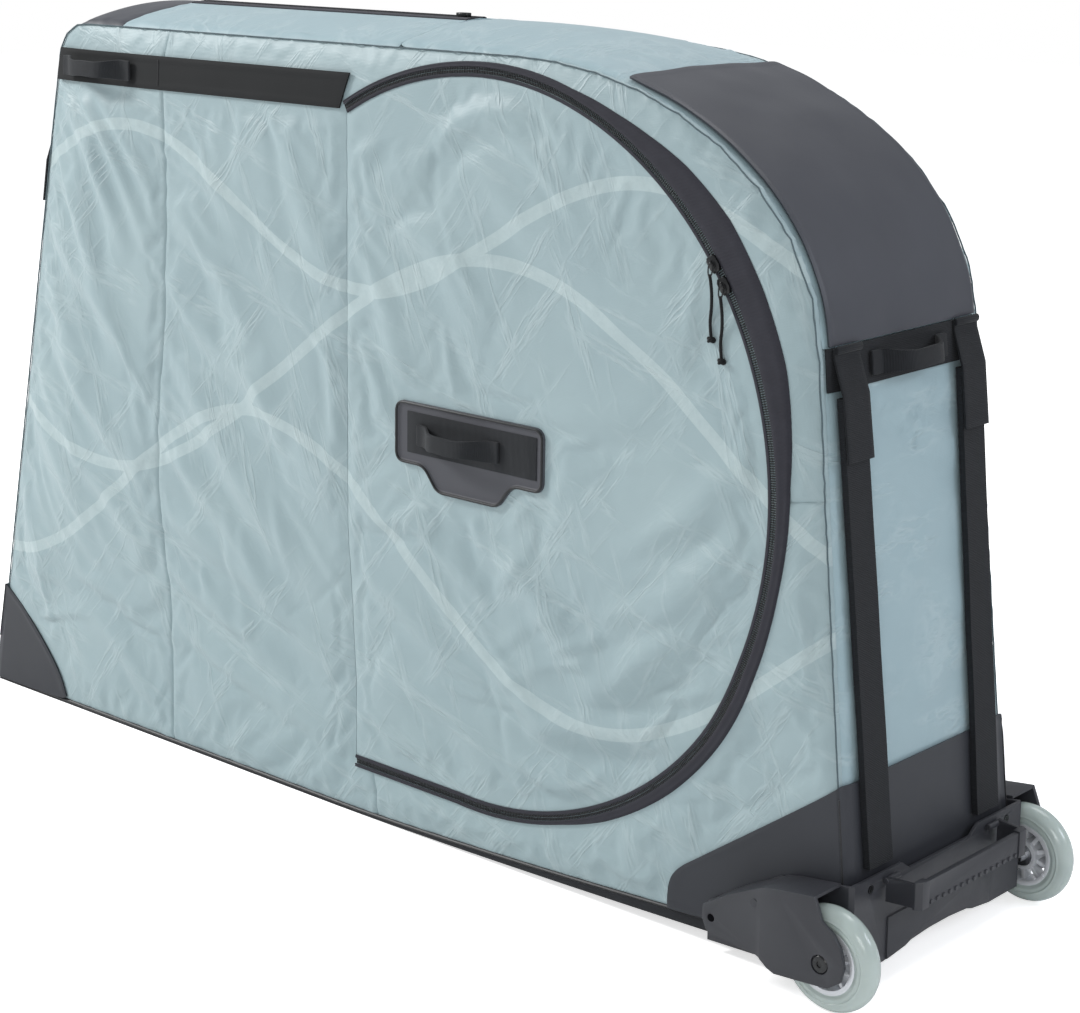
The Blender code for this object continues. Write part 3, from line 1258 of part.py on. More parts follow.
def make_wheel(label, side, carrier_outer, guard_inner, guard_outer):
    """One wheel: a soft tyre on a spoked hub, a bearing set in the hub and the bolt through it."""
    centre = (AXLE_X, side * WHEEL_TRACK / 2, AXLE_HEIGHT)
    middle = side * WHEEL_TRACK / 2
    half = WHEEL_WIDTH / 2
    radius = WHEEL_DIAMETER / 2
    bed = HUB_DIAMETER / 2 + GAP
    deep = radius - bed
    flank = bed + deep * TYRE_FLANK_SHARE
    bead = half * TYRE_BEAD_SHARE
    profile = [(bed, middle - bead), (bed, middle + bead), (flank, middle + half)]
    for k in range(TYRE_STEPS + 1):
        turn = math.pi / 2 - math.pi * k / TYRE_STEPS
        profile.append((radius - deep * TYRE_SHOULDER_SHARE * (1 - math.cos(turn)),
                        middle + half * math.sin(turn)))
    profile.append((flank, middle - half))
    tyre = revolve(label + "_tyre", profile, centre, "tyre")

    rim_out, rim_in = HUB_DIAMETER / 2, HUB_DIAMETER / 2 - HUB_RIM
    bore = BEARING_DIAMETER / 2 + GAP
    boss = bore + HUB_BOSS_WALL
    first, last = middle - HUB_WIDTH / 2, middle + HUB_WIDTH / 2
    ring = [(rim_in, first), (rim_out, first), (rim_out, last), (rim_in, last)]
    hub = revolve(label + "_hub", ring, centre, "hub")
    parts = [revolve("boss", [(bore, first), (boss, first), (boss, last), (bore, last)], centre, "hub")]
    root, tip = boss - HUB_BOSS_WALL / 2, rim_in + HUB_RIM / 2
    wide, narrow = SPOKE_WIDTH / 2, SPOKE_WIDTH / 2 * SPOKE_TIP_SHARE
    for k in range(HUB_SPOKES):
        turn = 2 * math.pi * k / HUB_SPOKES + math.pi / HUB_SPOKES

        def place(a, b, y, turn=turn):
            return (centre[0] + a * math.cos(turn) - b * math.sin(turn), y,
                    centre[2] + a * math.sin(turn) + b * math.cos(turn))

        spoke = [(root, -wide), (tip, -narrow), (tip, narrow), (root, wide)]
        parts.append(prism("spoke", spoke, place, middle - SPOKE_DEPTH / 2, middle + SPOKE_DEPTH / 2, "hub"))
    combine(hub, parts, "UNION")

    shaft = AXLE_DIAMETER / 2 + GAP
    sleeve = shaft + BEARING_SLEEVE
    outer = BEARING_DIAMETER / 2
    first, last = middle - side * half, middle + side * half
    near_end = side * (carrier_outer + GAP)
    far_end = side * (guard_inner - GAP)
    near_face, far_face = first + side * BEARING_WIDTH, last - side * BEARING_WIDTH
    bearings = [
        (shaft, near_end), (sleeve, near_end), (sleeve, first), (outer, first), (outer, near_face),
        (sleeve, near_face), (sleeve, far_face), (outer, far_face), (outer, last), (sleeve, last),
        (sleeve, far_end), (shaft, far_end),
    ]
    set_piece = revolve(label + "_bearings", bearings, centre, "steel", PIN_STEPS)
    joint_at(label + "_wheel_axle", centre, [tyre, hub, set_piece])

    shank, head = AXLE_DIAMETER / 2, AXLE_HEAD_DIAMETER / 2
    socket = head * AXLE_SOCKET_SHARE
    tip = side * (carrier_outer - CARRIER_WALL + GAP)
    seat = guard_outer - BOLT_SINK_DEPTH + GAP
    rise = BOLT_SINK_DEPTH - GAP
    crown = seat + rise
    floor = side * (crown - AXLE_SOCKET_DEPTH)
    bolt = [(0, tip), (shank, tip), (shank, side * seat), (head, side * seat),
            (head, side * (seat + rise / 2)), (head * AXLE_HEAD_CROWN_SHARE, side * crown),
            (socket, side * crown), (socket, floor), (0, floor)]
    turned_pin(label + "_axle_bolt", bolt, (AXLE_X, 0, AXLE_HEIGHT), "steel", PIN_STEPS)


def make_tow_grip(rear):
    """The bar that the bag is towed by: two arms on barrels at the carrier's lip, blocks and a ribbed bar."""
    foot = TOW_TOP - TOW_HEIGHT
    back = rear + TOW_REACH
    front = back - TOW_BAR
    end = TOW_HALF_LENGTH
    barrel = TOW_BARREL_DIAMETER / 2
    root = rear + GAP
    section = [(front, foot), (back, foot), (back, TOW_TOP), (front, TOW_TOP)]
    grip = prism("tow_grip", section, across, TOW_ARM - end, end - TOW_ARM, "moulded_plastic")
    parts = []
    for side in (NEAR, FAR):
        inside, outside = front - TOW_BLOCK_PROUD, back + TOW_BLOCK_PROUD
        block = [(inside, side * (end - TOW_BLOCK_LENGTH)), (outside, side * (end - TOW_BLOCK_LENGTH)),
                 (outside, side * (end - TOW_ARM)), (back - TOW_ARM, side * end), (inside, side * end)]
        parts.append(prism("block", block, upward, foot - TOW_BLOCK_PROUD, TOW_TOP + TOW_BLOCK_PROUD,
                           "moulded_plastic"))
        root_end = end + TOW_ROOT_SPREAD
        arm = [(root + barrel, side * (root_end - TOW_ARM)), (front, side * (end - TOW_ARM)),
               (front, side * (end - GAP)), (root + barrel, side * root_end)]
        parts.append(prism("arm", arm, upward, foot, TOW_TOP, "moulded_plastic"))
        pin = disc(root + barrel, TOW_TOP - barrel, barrel, PIN_STEPS // 2)
        parts.append(prism("barrel", pin, across, side * (root_end - TOW_BARREL_LENGTH),
                           side * (root_end + TOW_BLOCK_PROUD), "moulded_plastic"))
    ribs = int((2 * end - 2 * TOW_BLOCK_LENGTH) / TOW_RIB_PITCH)
    first = -TOW_RIB_PITCH * (ribs - 1) / 2
    for k in range(ribs):
        y = first + k * TOW_RIB_PITCH
        rib = [(y - TOW_RIB_WIDTH / 2, foot + GAP), (y + TOW_RIB_WIDTH / 2, foot + GAP),
               (y + TOW_RIB_WIDTH / 2, foot + TOW_RIB_HEIGHT), (y - TOW_RIB_WIDTH / 2, foot + TOW_RIB_HEIGHT)]
        parts.append(prism("rib", rib, rearward, back - TOW_BAR / 2, back + TOW_RIB_PROUD, "moulded_plastic"))
    combine(grip, parts, "UNION")


def build():
    clear_scene()
    make_base()
    for side, label in ((NEAR, "near"), (FAR, "far")):
        make_side_panel(label + "_side_panel", side)
        make_divider(label + "_divider", side)
        make_door_side(label, side)
        make_shoulder(label, side)
    make_ends()
    make_top()
    rear, carrier_outer = make_carrier()
    make_tow_grip(rear)
    for side, label in ((NEAR, "near"), (FAR, "far")):
        guard_inner, guard_outer = make_guard(label, side, carrier_outer)
        make_wheel(label, side, carrier_outer, guard_inner, guard_outer)


build()
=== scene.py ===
# %% [markdown]
# # A soft bike travel bag
# The real bag is a padded cloth box on a stiff base, with D-shaped doors, a zipped top, a black hood over
# its rear arch and a moulded chassis with two small wheels. MuJoCo holds the rigid frame of it. Here each
# cloth piece of that frame gets its folds, seams and weave, and each hard piece its moulded finish.

# %% The frame
import math
import random

import bmesh
import bpy
from mathutils import Euler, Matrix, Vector, noise
from mathutils.bvhtree import BVHTree
from mathutils.geometry import delaunay_2d_cdt
from mathutils.kdtree import KDTree


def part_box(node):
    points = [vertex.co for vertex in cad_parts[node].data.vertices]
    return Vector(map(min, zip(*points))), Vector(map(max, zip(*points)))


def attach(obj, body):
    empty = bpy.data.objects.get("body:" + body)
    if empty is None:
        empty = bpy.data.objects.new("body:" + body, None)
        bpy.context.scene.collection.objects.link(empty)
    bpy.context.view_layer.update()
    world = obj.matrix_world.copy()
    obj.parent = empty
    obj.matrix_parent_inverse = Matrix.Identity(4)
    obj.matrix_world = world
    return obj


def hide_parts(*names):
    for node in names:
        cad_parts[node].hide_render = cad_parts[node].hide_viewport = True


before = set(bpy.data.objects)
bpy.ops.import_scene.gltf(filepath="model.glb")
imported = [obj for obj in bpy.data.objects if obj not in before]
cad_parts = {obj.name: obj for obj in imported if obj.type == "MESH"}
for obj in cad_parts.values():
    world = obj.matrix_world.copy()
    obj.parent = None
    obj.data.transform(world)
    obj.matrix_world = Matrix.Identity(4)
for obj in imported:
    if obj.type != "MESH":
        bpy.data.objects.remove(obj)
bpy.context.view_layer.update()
MM = 0.001
NEAR, FAR = -1, 1
SIDES = (("near", NEAR), ("far", FAR))

# %% [markdown]
# ## Camera
# The photograph was taken from behind the near rear wheel, a little above the bag. The place, turn and lens
# below were worked out from the bag's straight edges and its wheels, so a piece that is right in the frame
# falls on its place in the picture.

# %% Camera
CAMERA_PLACE = (1.7656, -1.7877, 0.9908)
CAMERA_TURN = (75.61, -0.13, 42.55)
LENS_MM = 80.68
FRAME_SHIFT = (-0.0033, -0.0238)

camera_data = bpy.data.cameras.new("camera")
camera_data.lens = LENS_MM
camera_data.shift_x, camera_data.shift_y = FRAME_SHIFT
camera = bpy.data.objects.new("camera", camera_data)
camera.location = CAMERA_PLACE
camera.rotation_euler = Euler([math.radians(turn) for turn in CAMERA_TURN])
bpy.context.scene.collection.objects.link(camera)
bpy.context.scene.camera = camera
print("camera at", CAMERA_PLACE)

# %% [markdown]
# ## Small tools for modelling by hand
# Every operator works on what is selected, so each step starts from nothing selected. Faces are picked in
# code by their place or the way they point, as one would pick them on screen.

# %% Selecting and editing

def pick_only(item):
    """Leave one object selected and active."""
    bpy.ops.object.select_all(action="DESELECT")
    item.select_set(True)
    bpy.context.view_layer.objects.active = item
    return item


def edit_mesh(item, work):
    """Open an object's mesh, let some work change it, and write it back."""
    mesh = bmesh.new()
    mesh.from_mesh(item.data)
    work(mesh)
    mesh.to_mesh(item.data)
    mesh.free()
    item.data.update()
    return item


def keep_faces(item, wanted):
    """Delete every face whose middle and direction aren't wanted."""
    def work(mesh):
        gone = [f for f in mesh.faces if not wanted(f.calc_center_median(), f.normal)]
        bmesh.ops.delete(mesh, geom=gone, context="FACES")
    return edit_mesh(item, work)


def apply_modifiers(item):
    pick_only(item)
    for modifier in list(item.modifiers):
        bpy.ops.object.modifier_apply(modifier=modifier.name)
    return item


def copy_node(node, name):
    """A copy of a CAD solid with its corners merged and its flat faces whole again."""
    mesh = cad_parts[node].data.copy()
    mesh.materials.clear()
    item = bpy.data.objects.new(name, mesh)
    mesh.name = name
    bpy.context.scene.collection.objects.link(item)
    pick_only(item)
    bpy.ops.object.mode_set(mode="EDIT")
    bpy.ops.mesh.select_all(action="SELECT")
    bpy.ops.mesh.remove_doubles(threshold=0.02 * MM)
    bpy.ops.mesh.tris_convert_to_quads(face_threshold=math.radians(12), shape_threshold=math.radians(60))
    bpy.ops.mesh.select_all(action="DESELECT")
    bpy.ops.object.mode_set(mode="OBJECT")
    return item


def smooth_out(item, levels):
    """Subdivision surface that keeps the sheet's corners, applied."""
    modifier = item.modifiers.new("Subdivision", "SUBSURF")
    modifier.levels = modifier.render_levels = levels
    modifier.boundary_smooth = "PRESERVE_CORNERS"
    return apply_modifiers(item)


def round_edges(item, width, angle=50, segments=2):
    """Round every edge sharper than an angle, once the piece's modifiers are applied."""
    rounding = item.modifiers.new("Rounded edges", "BEVEL")
    rounding.width = width
    rounding.segments = segments
    rounding.limit_method = "ANGLE"
    rounding.angle_limit = math.radians(angle)


def thicken(item, thickness, bevel=0.0):
    """Give a sheet its cloth thickness inwards, with softly rounded edges."""
    modifier = item.modifiers.new("Thickness", "SOLIDIFY")
    modifier.thickness = thickness
    modifier.offset = -1
    modifier.use_even_offset = False
    if bevel:
        round_edges(item, bevel)
    return apply_modifiers(item)


def face_outwards(item):
    """Turn every face of a closed piece outwards."""
    pick_only(item)
    bpy.ops.object.mode_set(mode="EDIT")
    bpy.ops.mesh.select_all(action="SELECT")
    bpy.ops.mesh.normals_make_consistent(inside=False)
    bpy.ops.object.mode_set(mode="OBJECT")
    return item


def surface_of(item):
    """A search tree of a piece's surface."""
    return BVHTree.FromPolygons([v.co for v in item.data.vertices],
                                [tuple(p.vertices) for p in item.data.polygons])


def places_tree(places):
    """A search tree of single places."""
    tree = KDTree(len(places))
    for i, place in enumerate(places):
        tree.insert(place, i)
    tree.balance()
    return tree


def mesh_piece(name, points, faces):
    """A new object from points and faces."""
    mesh = bpy.data.meshes.new(name)
    mesh.from_pydata([tuple(p) for p in points], [], faces)
    mesh.update()
    item = bpy.data.objects.new(name, mesh)
    bpy.context.scene.collection.objects.link(item)
    return item


def mirrored(item, name):
    """The same piece for the far side."""
    twin = mesh_piece(name, [(v.co.x, -v.co.y, v.co.z) for v in item.data.vertices],
                      [tuple(reversed(p.vertices)) for p in item.data.polygons])
    for material in item.data.materials:
        twin.data.materials.append(material)
    for ours, theirs in zip(twin.data.polygons, item.data.polygons):
        ours.material_index = theirs.material_index
        ours.use_smooth = theirs.use_smooth
    return twin


def dress(item, body, slot, material, *nodes, angle=40):
    """Finish a piece: its shading, its material, the body it rides on and the nodes it stands for."""
    pick_only(item)
    bpy.ops.object.shade_smooth_by_angle(angle=math.radians(angle))
    if material is not None:
        item.data.materials.clear()
        item.data.materials.append(material)
    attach(item, body)
    if nodes:
        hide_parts(*nodes)
    return item


print("tools ready")

# %% [markdown]
# ## Materials
# Each finish starts from what the real one is. Colours are written as sRGB hex values and turned to linear
# light by one function. Patterns read Object coordinates, so they stay fixed to the bag when it moves.

# %% Colour and node helpers

def hex_colour(code):
    """An sRGB hex colour as linear light."""
    values = [int(code[i:i + 2], 16) / 255 for i in (1, 3, 5)]
    return [v / 12.92 if v <= 0.04045 else ((v + 0.055) / 1.055) ** 2.4 for v in values] + [1.0]


def new_material(name, colour, roughness, **sockets):
    """A material with its main shader's constants set on the shader's own sockets."""
    material = bpy.data.materials.new(name)
    material.use_nodes = True
    shader = material.node_tree.nodes["Principled BSDF"]
    shader.inputs["Base Color"].default_value = hex_colour(colour)
    shader.inputs["Roughness"].default_value = roughness
    for socket, value in sockets.items():
        shader.inputs[socket.replace("_", " ")].default_value = value
    return material


def add_node(material, kind, inputs=(), **settings):
    """Add a node, set it, and link or set its inputs."""
    made = material.node_tree.nodes.new(kind)
    for key, value in settings.items():
        setattr(made, key, value)
    for key, value in dict(inputs).items():
        if isinstance(value, bpy.types.NodeSocket):
            material.node_tree.links.new(value, made.inputs[key])
        else:
            made.inputs[key].default_value = value
    return made


def place_of(material):
    """Object coordinates, in metres."""
    return add_node(material, "ShaderNodeTexCoord").outputs["Object"]


def maths(material, operation, a, b=0.0):
    return add_node(material, "ShaderNodeMath", {0: a, 1: b}, operation=operation).outputs[0]


def noise_of(material, place, size_mm, detail=3.0, roughness=0.55):
    """Soft noise whose blotches are about this many millimetres across."""
    found = add_node(material, "ShaderNodeTexNoise", {"Vector": place, "Scale": 1 / (size_mm * MM),
                                                      "Detail": detail, "Roughness": roughness})
    return found.outputs["Fac"]


def tone(material, share, low, high):
    """A colour that runs between two hex colours with a share."""
    ramp = add_node(material, "ShaderNodeValToRGB", {"Fac": share})
    ramp.color_ramp.elements[0].color = hex_colour(low)
    ramp.color_ramp.elements[1].color = hex_colour(high)
    return ramp.outputs["Color"]


def bump(material, height, distance_mm, strength=1.0, under=None):
    inputs = {"Height": height, "Distance": distance_mm * MM, "Strength": strength}
    if under is not None:
        inputs["Normal"] = under
    return add_node(material, "ShaderNodeBump", inputs).outputs["Normal"]


def shade(material, socket, value):
    shader = material.node_tree.nodes["Principled BSDF"]
    material.node_tree.links.new(value, shader.inputs[socket])


def thread_grid(material, place, pitch_mm):
    """Height of a plain weave: threads along all three axes, so it lies right on every face of the bag."""
    parts = add_node(material, "ShaderNodeSeparateXYZ", {"Vector": place})
    turn = 2 * math.pi / (pitch_mm * MM)
    waves = [maths(material, "SINE", maths(material, "MULTIPLY", parts.outputs[axis], turn)) for axis in "XYZ"]
    return maths(material, "ADD", maths(material, "ADD", waves[0], waves[1]), waves[2])


# %% [markdown]
# ### Coated polyester
# The pale cloth is a plain weave of polyester with a thin coating inside. It is satin, with small crushed
# marks where it was folded. A pale colour is mixed in along those marks as a painted highlight, where the
# creases catch the light. Its real threads lie 0.35 mm apart, too fine to show here, so they are drawn at
# 1.4 mm and kept faint. The sides carry a large pale print of wavy lines.

# %% Pale cloth
THREAD_MM = 1.4
PRINT_WIDTH = 13 * MM
# Each printed line: height in metres, swing in metres, waves per metre along the bag, and its start in turns
WAVES = ((0.470, 0.150, 0.82, 0.10), (0.300, 0.120, 1.05, 0.42), (0.640, 0.070, 1.35, 0.75))
PRINT_INK = "#BCCBCB"
# Each family of crushed marks: its slant in degrees, and where in the noise it is read
MARK_FAMILIES = ((-52, 1.0), (18, 4.0), (68, 7.0))
# How far the noise of the marks is stretched along, into and across them
MARK_STRETCH = (70 * MM, 40 * MM, 9 * MM)
# Pale colour mixed in along the crushed marks: a painted highlight on the creases, not a worn coating
PAINTED_CREASE_HIGHLIGHT = "#C9D6D7"


def crushed_marks(material, place):
    """Short straight creases in scattered patches, left where coated cloth was folded small."""
    total = None
    for slant, seed in MARK_FAMILIES:
        laid = add_node(material, "ShaderNodeMapping",
                        {"Vector": place, "Location": (seed, seed, 0), "Rotation": (0, math.radians(slant), 0),
                         "Scale": MARK_STRETCH}, vector_type="TEXTURE")
        line = add_node(material, "ShaderNodeTexNoise", {"Vector": laid.outputs["Vector"], "Scale": 1.0,
                                                         "Detail": 2.0, "Roughness": 0.6}).outputs["Fac"]
        ridge = maths(material, "ABSOLUTE", maths(material, "SUBTRACT", line, 0.5))
        sharp = maths(material, "SUBTRACT", 1.0,
                      maths(material, "MINIMUM", maths(material, "MULTIPLY", ridge, 11.0), 1.0))
        region = add_node(material, "ShaderNodeTexNoise", {"Vector": laid.outputs["Vector"], "Scale": 0.4,
                                                           "Detail": 1.0, "Roughness": 0.4}).outputs["Fac"]
        patchy = add_node(material, "ShaderNodeMapRange", {"Value": region, "From Min": 0.55, "From Max": 0.68})
        here = maths(material, "MULTIPLY", sharp, patchy.outputs["Result"])
        total = here if total is None else maths(material, "MAXIMUM", total, here)
    return total


def wave_mask(material, place):
    """Share of print at a place: wavy lines of even width that run along the bag."""
    parts = add_node(material, "ShaderNodeSeparateXYZ", {"Vector": place})
    total = None
    for height, swing, waves, start in WAVES:
        turn = 2 * math.pi * waves
        angle = maths(material, "ADD", maths(material, "MULTIPLY", parts.outputs["X"], turn), start * 2 * math.pi)
        line = maths(material, "ADD", maths(material, "MULTIPLY", maths(material, "SINE", angle), swing), height)
        slope = maths(material, "MULTIPLY", maths(material, "COSINE", angle), swing * turn)
        length = maths(material, "SQRT", maths(material, "ADD", maths(material, "MULTIPLY", slope, slope), 1.0))
        apart = maths(material, "DIVIDE",
                      maths(material, "ABSOLUTE", maths(material, "SUBTRACT", parts.outputs["Z"], line)), length)
        stroke = maths(material, "LESS_THAN", apart, PRINT_WIDTH / 2)
        total = stroke if total is None else maths(material, "MAXIMUM", total, stroke)
    return total


def coated_polyester(name, base, dark, printed=False, roughness=0.5, marks=0.7, highlight_strength=0.2):
    material = new_material(name, base, roughness, Sheen_Weight=0.12, Sheen_Roughness=0.5, Specular_IOR_Level=0.4)
    place = place_of(material)
    cloud = noise_of(material, place, 120)
    colour = tone(material, cloud, dark, base)
    if printed:
        worn = noise_of(material, place, 9, 4.0, 0.7)
        cover = maths(material, "MULTIPLY", wave_mask(material, place),
                      maths(material, "MULTIPLY", maths(material, "ADD", worn, 0.25), 0.62))
        pale = add_node(material, "ShaderNodeMix", {"Factor": cover, 6: colour, 7: hex_colour(PRINT_INK)},
                        data_type="RGBA")
        colour = pale.outputs[2]
    marks_here = crushed_marks(material, place)
    # The crushed marks are lightened towards a pale colour: a painted highlight where the creases catch the light
    highlight_share = maths(material, "MULTIPLY", marks_here, highlight_strength)
    highlighted = add_node(material, "ShaderNodeMix", {"Factor": highlight_share, 6: colour, 7: hex_colour(PAINTED_CREASE_HIGHLIGHT)},
                      data_type="RGBA")
    shade(material, "Base Color", highlighted.outputs[2])
    weave = bump(material, thread_grid(material, place, THREAD_MM), 0.05, 0.35)
    creases = bump(material, marks_here, 0.7, marks, weave)
    soft = bump(material, noise_of(material, place, 45, 3.0), 2.4, 0.5, creases)
    shade(material, "Normal", soft)
    return material


PALE_CLOTH = coated_polyester("coated polyester", "#9EB4BA", "#93AAB1")
PRINTED_CLOTH = coated_polyester("printed coated polyester", "#9FB2B5", "#94A8AD", printed=True)
LINING = coated_polyester("lining taffeta", "#70787C", "#646B70", roughness=0.4, marks=0.3, highlight_strength=0.03)
print("pale cloths made")

# %% [markdown]
# ### Tarpaulin, webbing, zip tape and cord
# The black panels are polyester with a smooth coating on the outside: a soft sheen and a faint grain. The
# grips and bands are woven webbing, matt, with ribs 1.6 mm apart across the band. Zip tape is knitted and
# duller still.

# %% Dark cloths

def ribs_along(material, place, axis, pitch_mm):
    parts = add_node(material, "ShaderNodeSeparateXYZ", {"Vector": place})
    turn = 2 * math.pi / (pitch_mm * MM)
    return maths(material, "SINE", maths(material, "MULTIPLY", parts.outputs[axis], turn))


def tarpaulin(name, base, dark, roughness, specular=0.45):
    material = new_material(name, base, roughness, Specular_IOR_Level=specular, Sheen_Weight=0.05)
    place = place_of(material)
    shade(material, "Base Color", tone(material, noise_of(material, place, 90), dark, base))
    grain = bump(material, noise_of(material, place, 1.2, 2.0, 0.6), 0.06, 0.5)
    shade(material, "Normal", bump(material, noise_of(material, place, 45, 2.0), 1.2, 0.3, grain))
    return material


def webbing(name, base, dark, axis="Z", pitch_mm=1.6):
    material = new_material(name, base, 0.78, Sheen_Weight=0.08, Sheen_Roughness=0.5, Specular_IOR_Level=0.25)
    place = place_of(material)
    shade(material, "Base Color", tone(material, noise_of(material, place, 14, 3.0), dark, base))
    ribs = bump(material, ribs_along(material, place, axis, pitch_mm), 0.18, 0.55)
    shade(material, "Normal", bump(material, noise_of(material, place, 2.5, 3.0), 0.12, 0.4, ribs))
    return material


BLACK_CLOTH = tarpaulin("coated tarpaulin", "#43454C", "#3B3D44", 0.44)
PATCH_CLOTH = tarpaulin("patch tarpaulin", "#33353B", "#2C2E33", 0.48, specular=0.35)
BAND_CLOTH = tarpaulin("binding tape", "#16181A", "#111314", 0.7, specular=0.25)
SKID_CLOTH = tarpaulin("base tarpaulin", "#222428", "#1B1C20", 0.5, specular=0.25)
WEBBING_Z = webbing("woven webbing", "#1E2024", "#16181B", "Z")
WEBBING_X = webbing("webbing along the bag", "#2A2C2F", "#202225", "X")
WEBBING_Y = webbing("webbing across the bag", "#1E2024", "#16181B", "Y")
ZIP_TAPE = webbing("knitted zip tape", "#34343C", "#2B2B32", "Z", 1.2)
CORD_BLACK = webbing("braided cord", "#1D1E20", "#141516", "Z", 1.4)
PIPING = tarpaulin("piping", "#1E1F22", "#17181A", 0.45)
SEAM_THREAD = tarpaulin("stitched seam", "#56656A", "#495A60", 0.7)
print("dark cloths made")

# %% [markdown]
# ### Hard finishes
# The chassis is injection-moulded nylon with a fine spark-eroded texture. The tyres are cast polyurethane:
# pale, glossy and slightly translucent, so light soaks into their edges. The hubs are moulded too, silver
# white. Bolts and bearings are turned steel, sliders are die cast and enamelled black.

# %% Hard finishes

def moulded(name, base, dark, roughness, grit_mm=0.9, depth_mm=0.05):
    material = new_material(name, base, roughness, Specular_IOR_Level=0.5)
    place = place_of(material)
    shade(material, "Base Color", tone(material, noise_of(material, place, 60), dark, base))
    scuffs = maths(material, "MULTIPLY", noise_of(material, place, 22, 5.0, 0.7), 0.22)
    shade(material, "Roughness", maths(material, "ADD", scuffs, roughness - 0.11))
    shade(material, "Normal", bump(material, noise_of(material, place, grit_mm, 2.0), depth_mm, 0.5))
    return material


NYLON = moulded("moulded nylon", "#37383D", "#2E2F34", 0.46)
BOARD = moulded("extruded polypropylene sheet", "#3B3C3E", "#343537", 0.5)
GLASS_FIBRE = moulded("pultruded glass fibre", "#D9D4C2", "#CDC7B2", 0.35)
HUB_NYLON = moulded("silver white nylon", "#E3E5E8", "#D2D5D9", 0.24)
HUB_NYLON.node_tree.nodes["Principled BSDF"].inputs["Metallic"].default_value = 0.35
TYRE = new_material("cast polyurethane", "#B4C0BC", 0.2, IOR=1.5, Subsurface_Weight=0.35,
                    Subsurface_Radius=(0.012, 0.012, 0.010), Coat_Weight=0.4, Coat_Roughness=0.08)
tyre_place = place_of(TYRE)
shade(TYRE, "Base Color", tone(TYRE, noise_of(TYRE, tyre_place, 30), "#A9B6B2", "#BECAC6"))
shade(TYRE, "Normal", bump(TYRE, noise_of(TYRE, tyre_place, 3, 3.0), 0.05, 0.3))
STEEL = moulded("turned steel", "#BFC1C4", "#AFB1B4", 0.3, 0.5, 0.01)
STEEL.node_tree.nodes["Principled BSDF"].inputs["Metallic"].default_value = 1.0
ENAMEL = moulded("enamelled die casting", "#1C1D1F", "#151617", 0.28, 0.8, 0.02)
print("hard finishes made")

# %% [markdown]
# ## Pull cords
# Each zip slider has a limp cord, 3 mm thick, knotted at its end. It is threaded through the slider's bridge
# and hangs down against the door. The points below are the route that the frame's solid follows.

# %% Pull cords
PULL_DIAMETER = 3 * MM
PULL_ROUTES = {
    "upper": ((452.04, 139.94, 638.77), (453.2, 138.49, 624.27), (452.04, 136.52, 609.77),
              (450.3, 135.81, 595.27), (452.04, 136.12, 580.77)),
    "lower": ((464.51, 140.33, 620.89), (465.67, 138.87, 606.39), (464.51, 136.9, 591.89),
              (462.77, 136.19, 577.39), (464.51, 136.49, 562.89)),
}


def curve_through(points, steps):
    """Points of a smooth curve that passes through each given point."""
    smooth = []
    for i in range(len(points) - 1):
        a, b, c, d = (points[min(max(k, 0), len(points) - 1)] for k in (i - 1, i, i + 1, i + 2))
        for k in range(steps):
            t = k / steps
            smooth.append(0.5 * (2 * b + (c - a) * t + (2 * a - 5 * b + 4 * c - d) * t * t
                                 + (3 * b - a - 3 * c + d) * t ** 3))
    return smooth + [points[-1]]


def cord_piece(name, points, diameter):
    """A round cord along a line, as one open spline."""
    line = bpy.data.curves.new(name, "CURVE")
    line.dimensions = "3D"
    line.bevel_depth = diameter / 2
    line.bevel_resolution = 3
    line.use_fill_caps = True
    spline = line.splines.new("POLY")
    spline.points.add(len(points) - 1)
    for point, place in zip(spline.points, points):
        point.co = (*place, 1.0)
    item = bpy.data.objects.new(name, line)
    bpy.context.scene.collection.objects.link(item)
    return item


def cord_mesh(item, ring=False):
    """Make a cord a mesh, closed into a ring if wanted."""
    item.data.splines[0].use_cyclic_u = ring
    pick_only(item)
    bpy.ops.object.convert(target="MESH")
    return bpy.context.active_object


def knot(name, centre, size):
    """An overhand knot: a cord wound twice about itself, closed into a small ball."""
    turns = [Vector((math.sin(a) + 2 * math.sin(2 * a), math.cos(a) - 2 * math.cos(2 * a), -math.sin(3 * a)))
             for a in (2 * math.pi * k / 48 for k in range(48))]
    line = [centre + Vector((p.x, p.y * 0.6, p.z * 1.15)) * size for p in turns]
    return cord_mesh(cord_piece(name, line, PULL_DIAMETER), ring=True)


for label, side in SIDES:
    for place, route in PULL_ROUTES.items():
        points = curve_through([Vector((x, side * y, z)) * MM for x, y, z in route], 6)
        body = f"{label}_{place}_zip"
        name = f"{label}_{place}_pull_cord"
        pull = cord_piece(name, points, PULL_DIAMETER)
        pull.data.materials.append(CORD_BLACK)
        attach(pull, body)
        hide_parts(f"{label}_{place}_pull")
        tied = knot(name + "_knot", points[-1] + Vector((0, side * 0.4, -1)) * MM, 1.15 * MM)
        dress(tied, body, "cord", CORD_BLACK)

# %% [markdown]
# ## The line of the door zips
# The zip follows a circle from the top of the hinge, round over the rear, and runs straight for the last
# stretch to the foot of the hinge. A black border lies outside it, widest behind the sliders. The side cloth
# has to stay flat below that border, so its line comes first.

# %% Zip path
ZIP_CENTRE = Vector((157, 428)) * MM
ZIP_RADIUS = 370 * MM
HINGE_FOOT = Vector((-22, 60)) * MM
ARC_START, ARC_END = 119.0, -94.0
